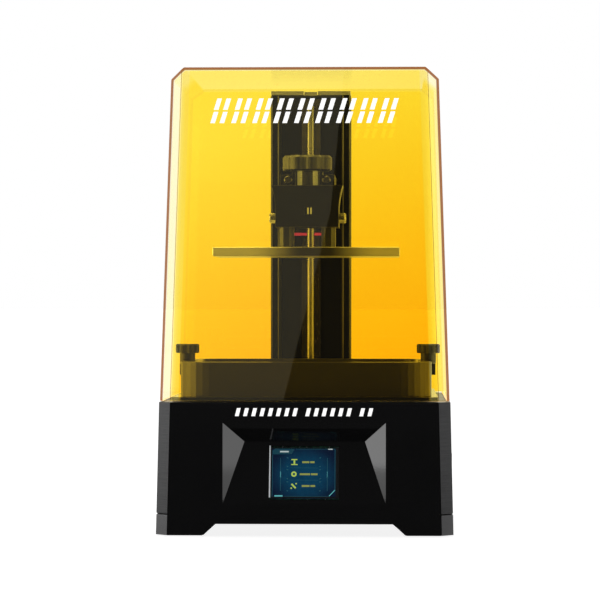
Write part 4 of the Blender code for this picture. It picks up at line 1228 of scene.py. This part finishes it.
def turned(name, profile, centre, material, body, steps=48):
    """A closed turned shape: a profile of (radius, height) pairs about an upright line."""
    points = []
    for radius, height in profile:
        for step in range(steps):
            points.append((*around(*centre, radius, 2 * math.pi * step / steps), height))
    faces = [tuple(range(steps)), tuple(range(len(points) - steps, len(points)))]
    faces += ring_sides(0, steps, len(profile))
    piece = new_piece(name, points, faces, material, body)
    piece.data.shade_smooth()
    piece.modifiers.new("normals", "WEIGHTED_NORMAL").keep_sharp = False
    return piece


def knob_sleeve(material):
    """The turned sleeve between the platform's knob and its bracket."""
    low, high, outer, rounding = 321.1, 334.7, 10.2, 0.5
    profile = (
        (outer - 3 * rounding, low),
        (outer - rounding, low),
        (outer, low + rounding),
        (outer, high - rounding),
        (outer - rounding, high),
        (outer - 3 * rounding, high),
    )
    sleeve = turned("knob_sleeve", profile, (0.0, -35.0), material, "platform_knob")


def window_pins(material):
    """Two glowing dowel pins seen through the small window in the platform's bracket, as painted
    highlights where the lead screw glints.
    """
    profile = ((0.5, 293.8), (0.75, 294.05), (0.75, 299.55), (0.5, 299.8))
    for number, centre in enumerate(((0.9, -58.6), (3.7, -58.6))):
        turned(f"window_pin_{number + 1}", profile, centre, material, "platform", 16)


def hardware(material):
    """The screws that hold the rear of the base and the tower's rear panel."""
    base_spots = [(x, z) for x in (-116, 116) for z in (33, 106)]
    tower_spots = [(x, z) for x in (-31, 31) for z in (140, 270, 396)]
    socket_screws("rear_screws", base_spots, 3.2, on_base_rear, material)
    socket_screws("tower_screws", tower_spots, 2.6, on_tower_rear, material)


# ---- Stage ----


def flat_piece(name, corners, material):
    """A flat piece of the stage, from corners in metres."""
    mesh = bpy.data.meshes.new(name)
    mesh.from_pydata(corners, [], [tuple(range(len(corners)))])
    piece = add_mesh(name, mesh, [material])
    return piece


def floor():
    """A plain pale floor that reaches the horizon."""
    finish = Finish("stage_floor")
    speckle = finish.noise(3.0, 2.0)
    pale = finish.dressed(
        Base_Color=finish.blend(speckle, (0.28, 0.28, 0.28), (0.3, 0.3, 0.3)),
        Roughness=0.8,
        Specular_IOR_Level=0.1,
        Emission_Color=(1.0, 1.0, 1.0),
        Emission_Strength=0.86,
    )
    reach = 60.0
    corners = [(-reach, -reach, 0), (reach, -reach, 0), (reach, reach, 0), (-reach, reach, 0)]
    flat_piece("floor", corners, pale)


def surroundings():
    """White behind the object, and for reflections a soft room that is dark towards the camera."""
    world = bpy.data.worlds.new("studio")
    bpy.context.scene.world = world
    world.use_nodes = True
    room = Nodes(world.node_tree)
    ahead = room.parts(room.add("ShaderNodeTexCoord").outputs["Generated"])["Y"]
    shade = room.range(ahead, -0.75, 0.6, 0.06, 1.0)
    seen = room.add("ShaderNodeLightPath").outputs["Is Camera Ray"]
    room.feed(room.tree.nodes["Background"], Color=room.blend(seen, shade, (1.0, 1.0, 1.0)))


def softbox(name, place, width, height, power):
    """A soft rectangular light aimed at the object's middle, itself unseen."""
    light = bpy.data.lights.new(name, "AREA")
    light.shape = "RECTANGLE"
    light.size = width
    light.size_y = height
    light.energy = power
    lamp = bpy.data.objects.new(name, light)
    bpy.context.scene.collection.objects.link(lamp)
    lamp.location = place
    towards = Vector((0.0, 0.0, 0.25)) - Vector(place)
    lamp.rotation_euler = towards.to_track_quat("-Z", "Y").to_euler()
    lamp.visible_camera = False


def lights():
    softbox("left_box", (-1.7, -0.2, 0.5), 1.6, 1.4, LEFT_POWER)
    softbox("right_box", (1.7, -0.3, 0.5), 1.2, 1.2, RIGHT_POWER)
    softbox("top_box", (-0.35, 0.1, 2.0), 1.2, 1.6, TOP_POWER)


def card(name, corners, glow):
    """A flat card that only mirror-like surfaces show: a pale one to reflect, or a black flag."""
    finish = Finish("stage_" + name)
    light = finish.feed(finish.add("ShaderNodeEmission"), Strength=glow)
    piece = flat_piece(name, corners, finish.show(light.outputs[0]))
    piece.visible_camera = False
    piece.visible_diffuse = False
    piece.visible_shadow = False


def cards():
    """The slanted card gives the cover's left half its sheen; the flag keeps the front black."""
    away = -4.2
    sheen = [(-3.0, 0.235), (-0.18, 0.235), (-0.068, 0.69), (-0.02, 1.2), (-3.0, 1.2)]
    card("sheen_card", [(x, away, z) for x, z in sheen], SHEEN)
    flag = [(-0.6, -0.146), (0.6, -0.146), (1.0, -3.0), (8.0, -59.0), (-8.0, -59.0), (-1.0, -3.0)]
    card("front_flag", [(x, y, 0.001) for x, y in flag], 0.05)


def camera():
    data = bpy.data.cameras.new("camera")
    data.lens = CAMERA_LENS
    data.sensor_width = SENSOR_WIDTH
    data.clip_end = 200.0
    eye = bpy.data.objects.new("camera", data)
    bpy.context.scene.collection.objects.link(eye)
    eye.location = CAMERA_PLACE
    eye.rotation_euler = (math.pi / 2, 0.0, math.radians(CAMERA_YAW))
    bpy.context.scene.camera = eye


def main():
    bpy.context.scene.view_settings.view_transform = "Standard"
    finishes = dress_frame()
    soften_frame()
    cover(amber("amber_outer", True), amber("amber_inner", False), amber_rim())
    threaded_rod(finishes["bright_steel"])
    white = made(print_white)
    cover_marks(white)
    base_marks(white)
    screen_picture()
    screen_mask(finishes["black_plastic"])
    bezel_ridge(made(satin_trim))
    hardware(finishes["bright_steel"])
    knob_sleeve(made(sleeve_steel))
    # The window pins glow as painted highlights.
    window_pins(glowing("finish_pin_painted_highlight", (0.8, 0.78, 0.7), 0.5))
    floor()
    surroundings()
    lights()
    cards()
    camera()


main()
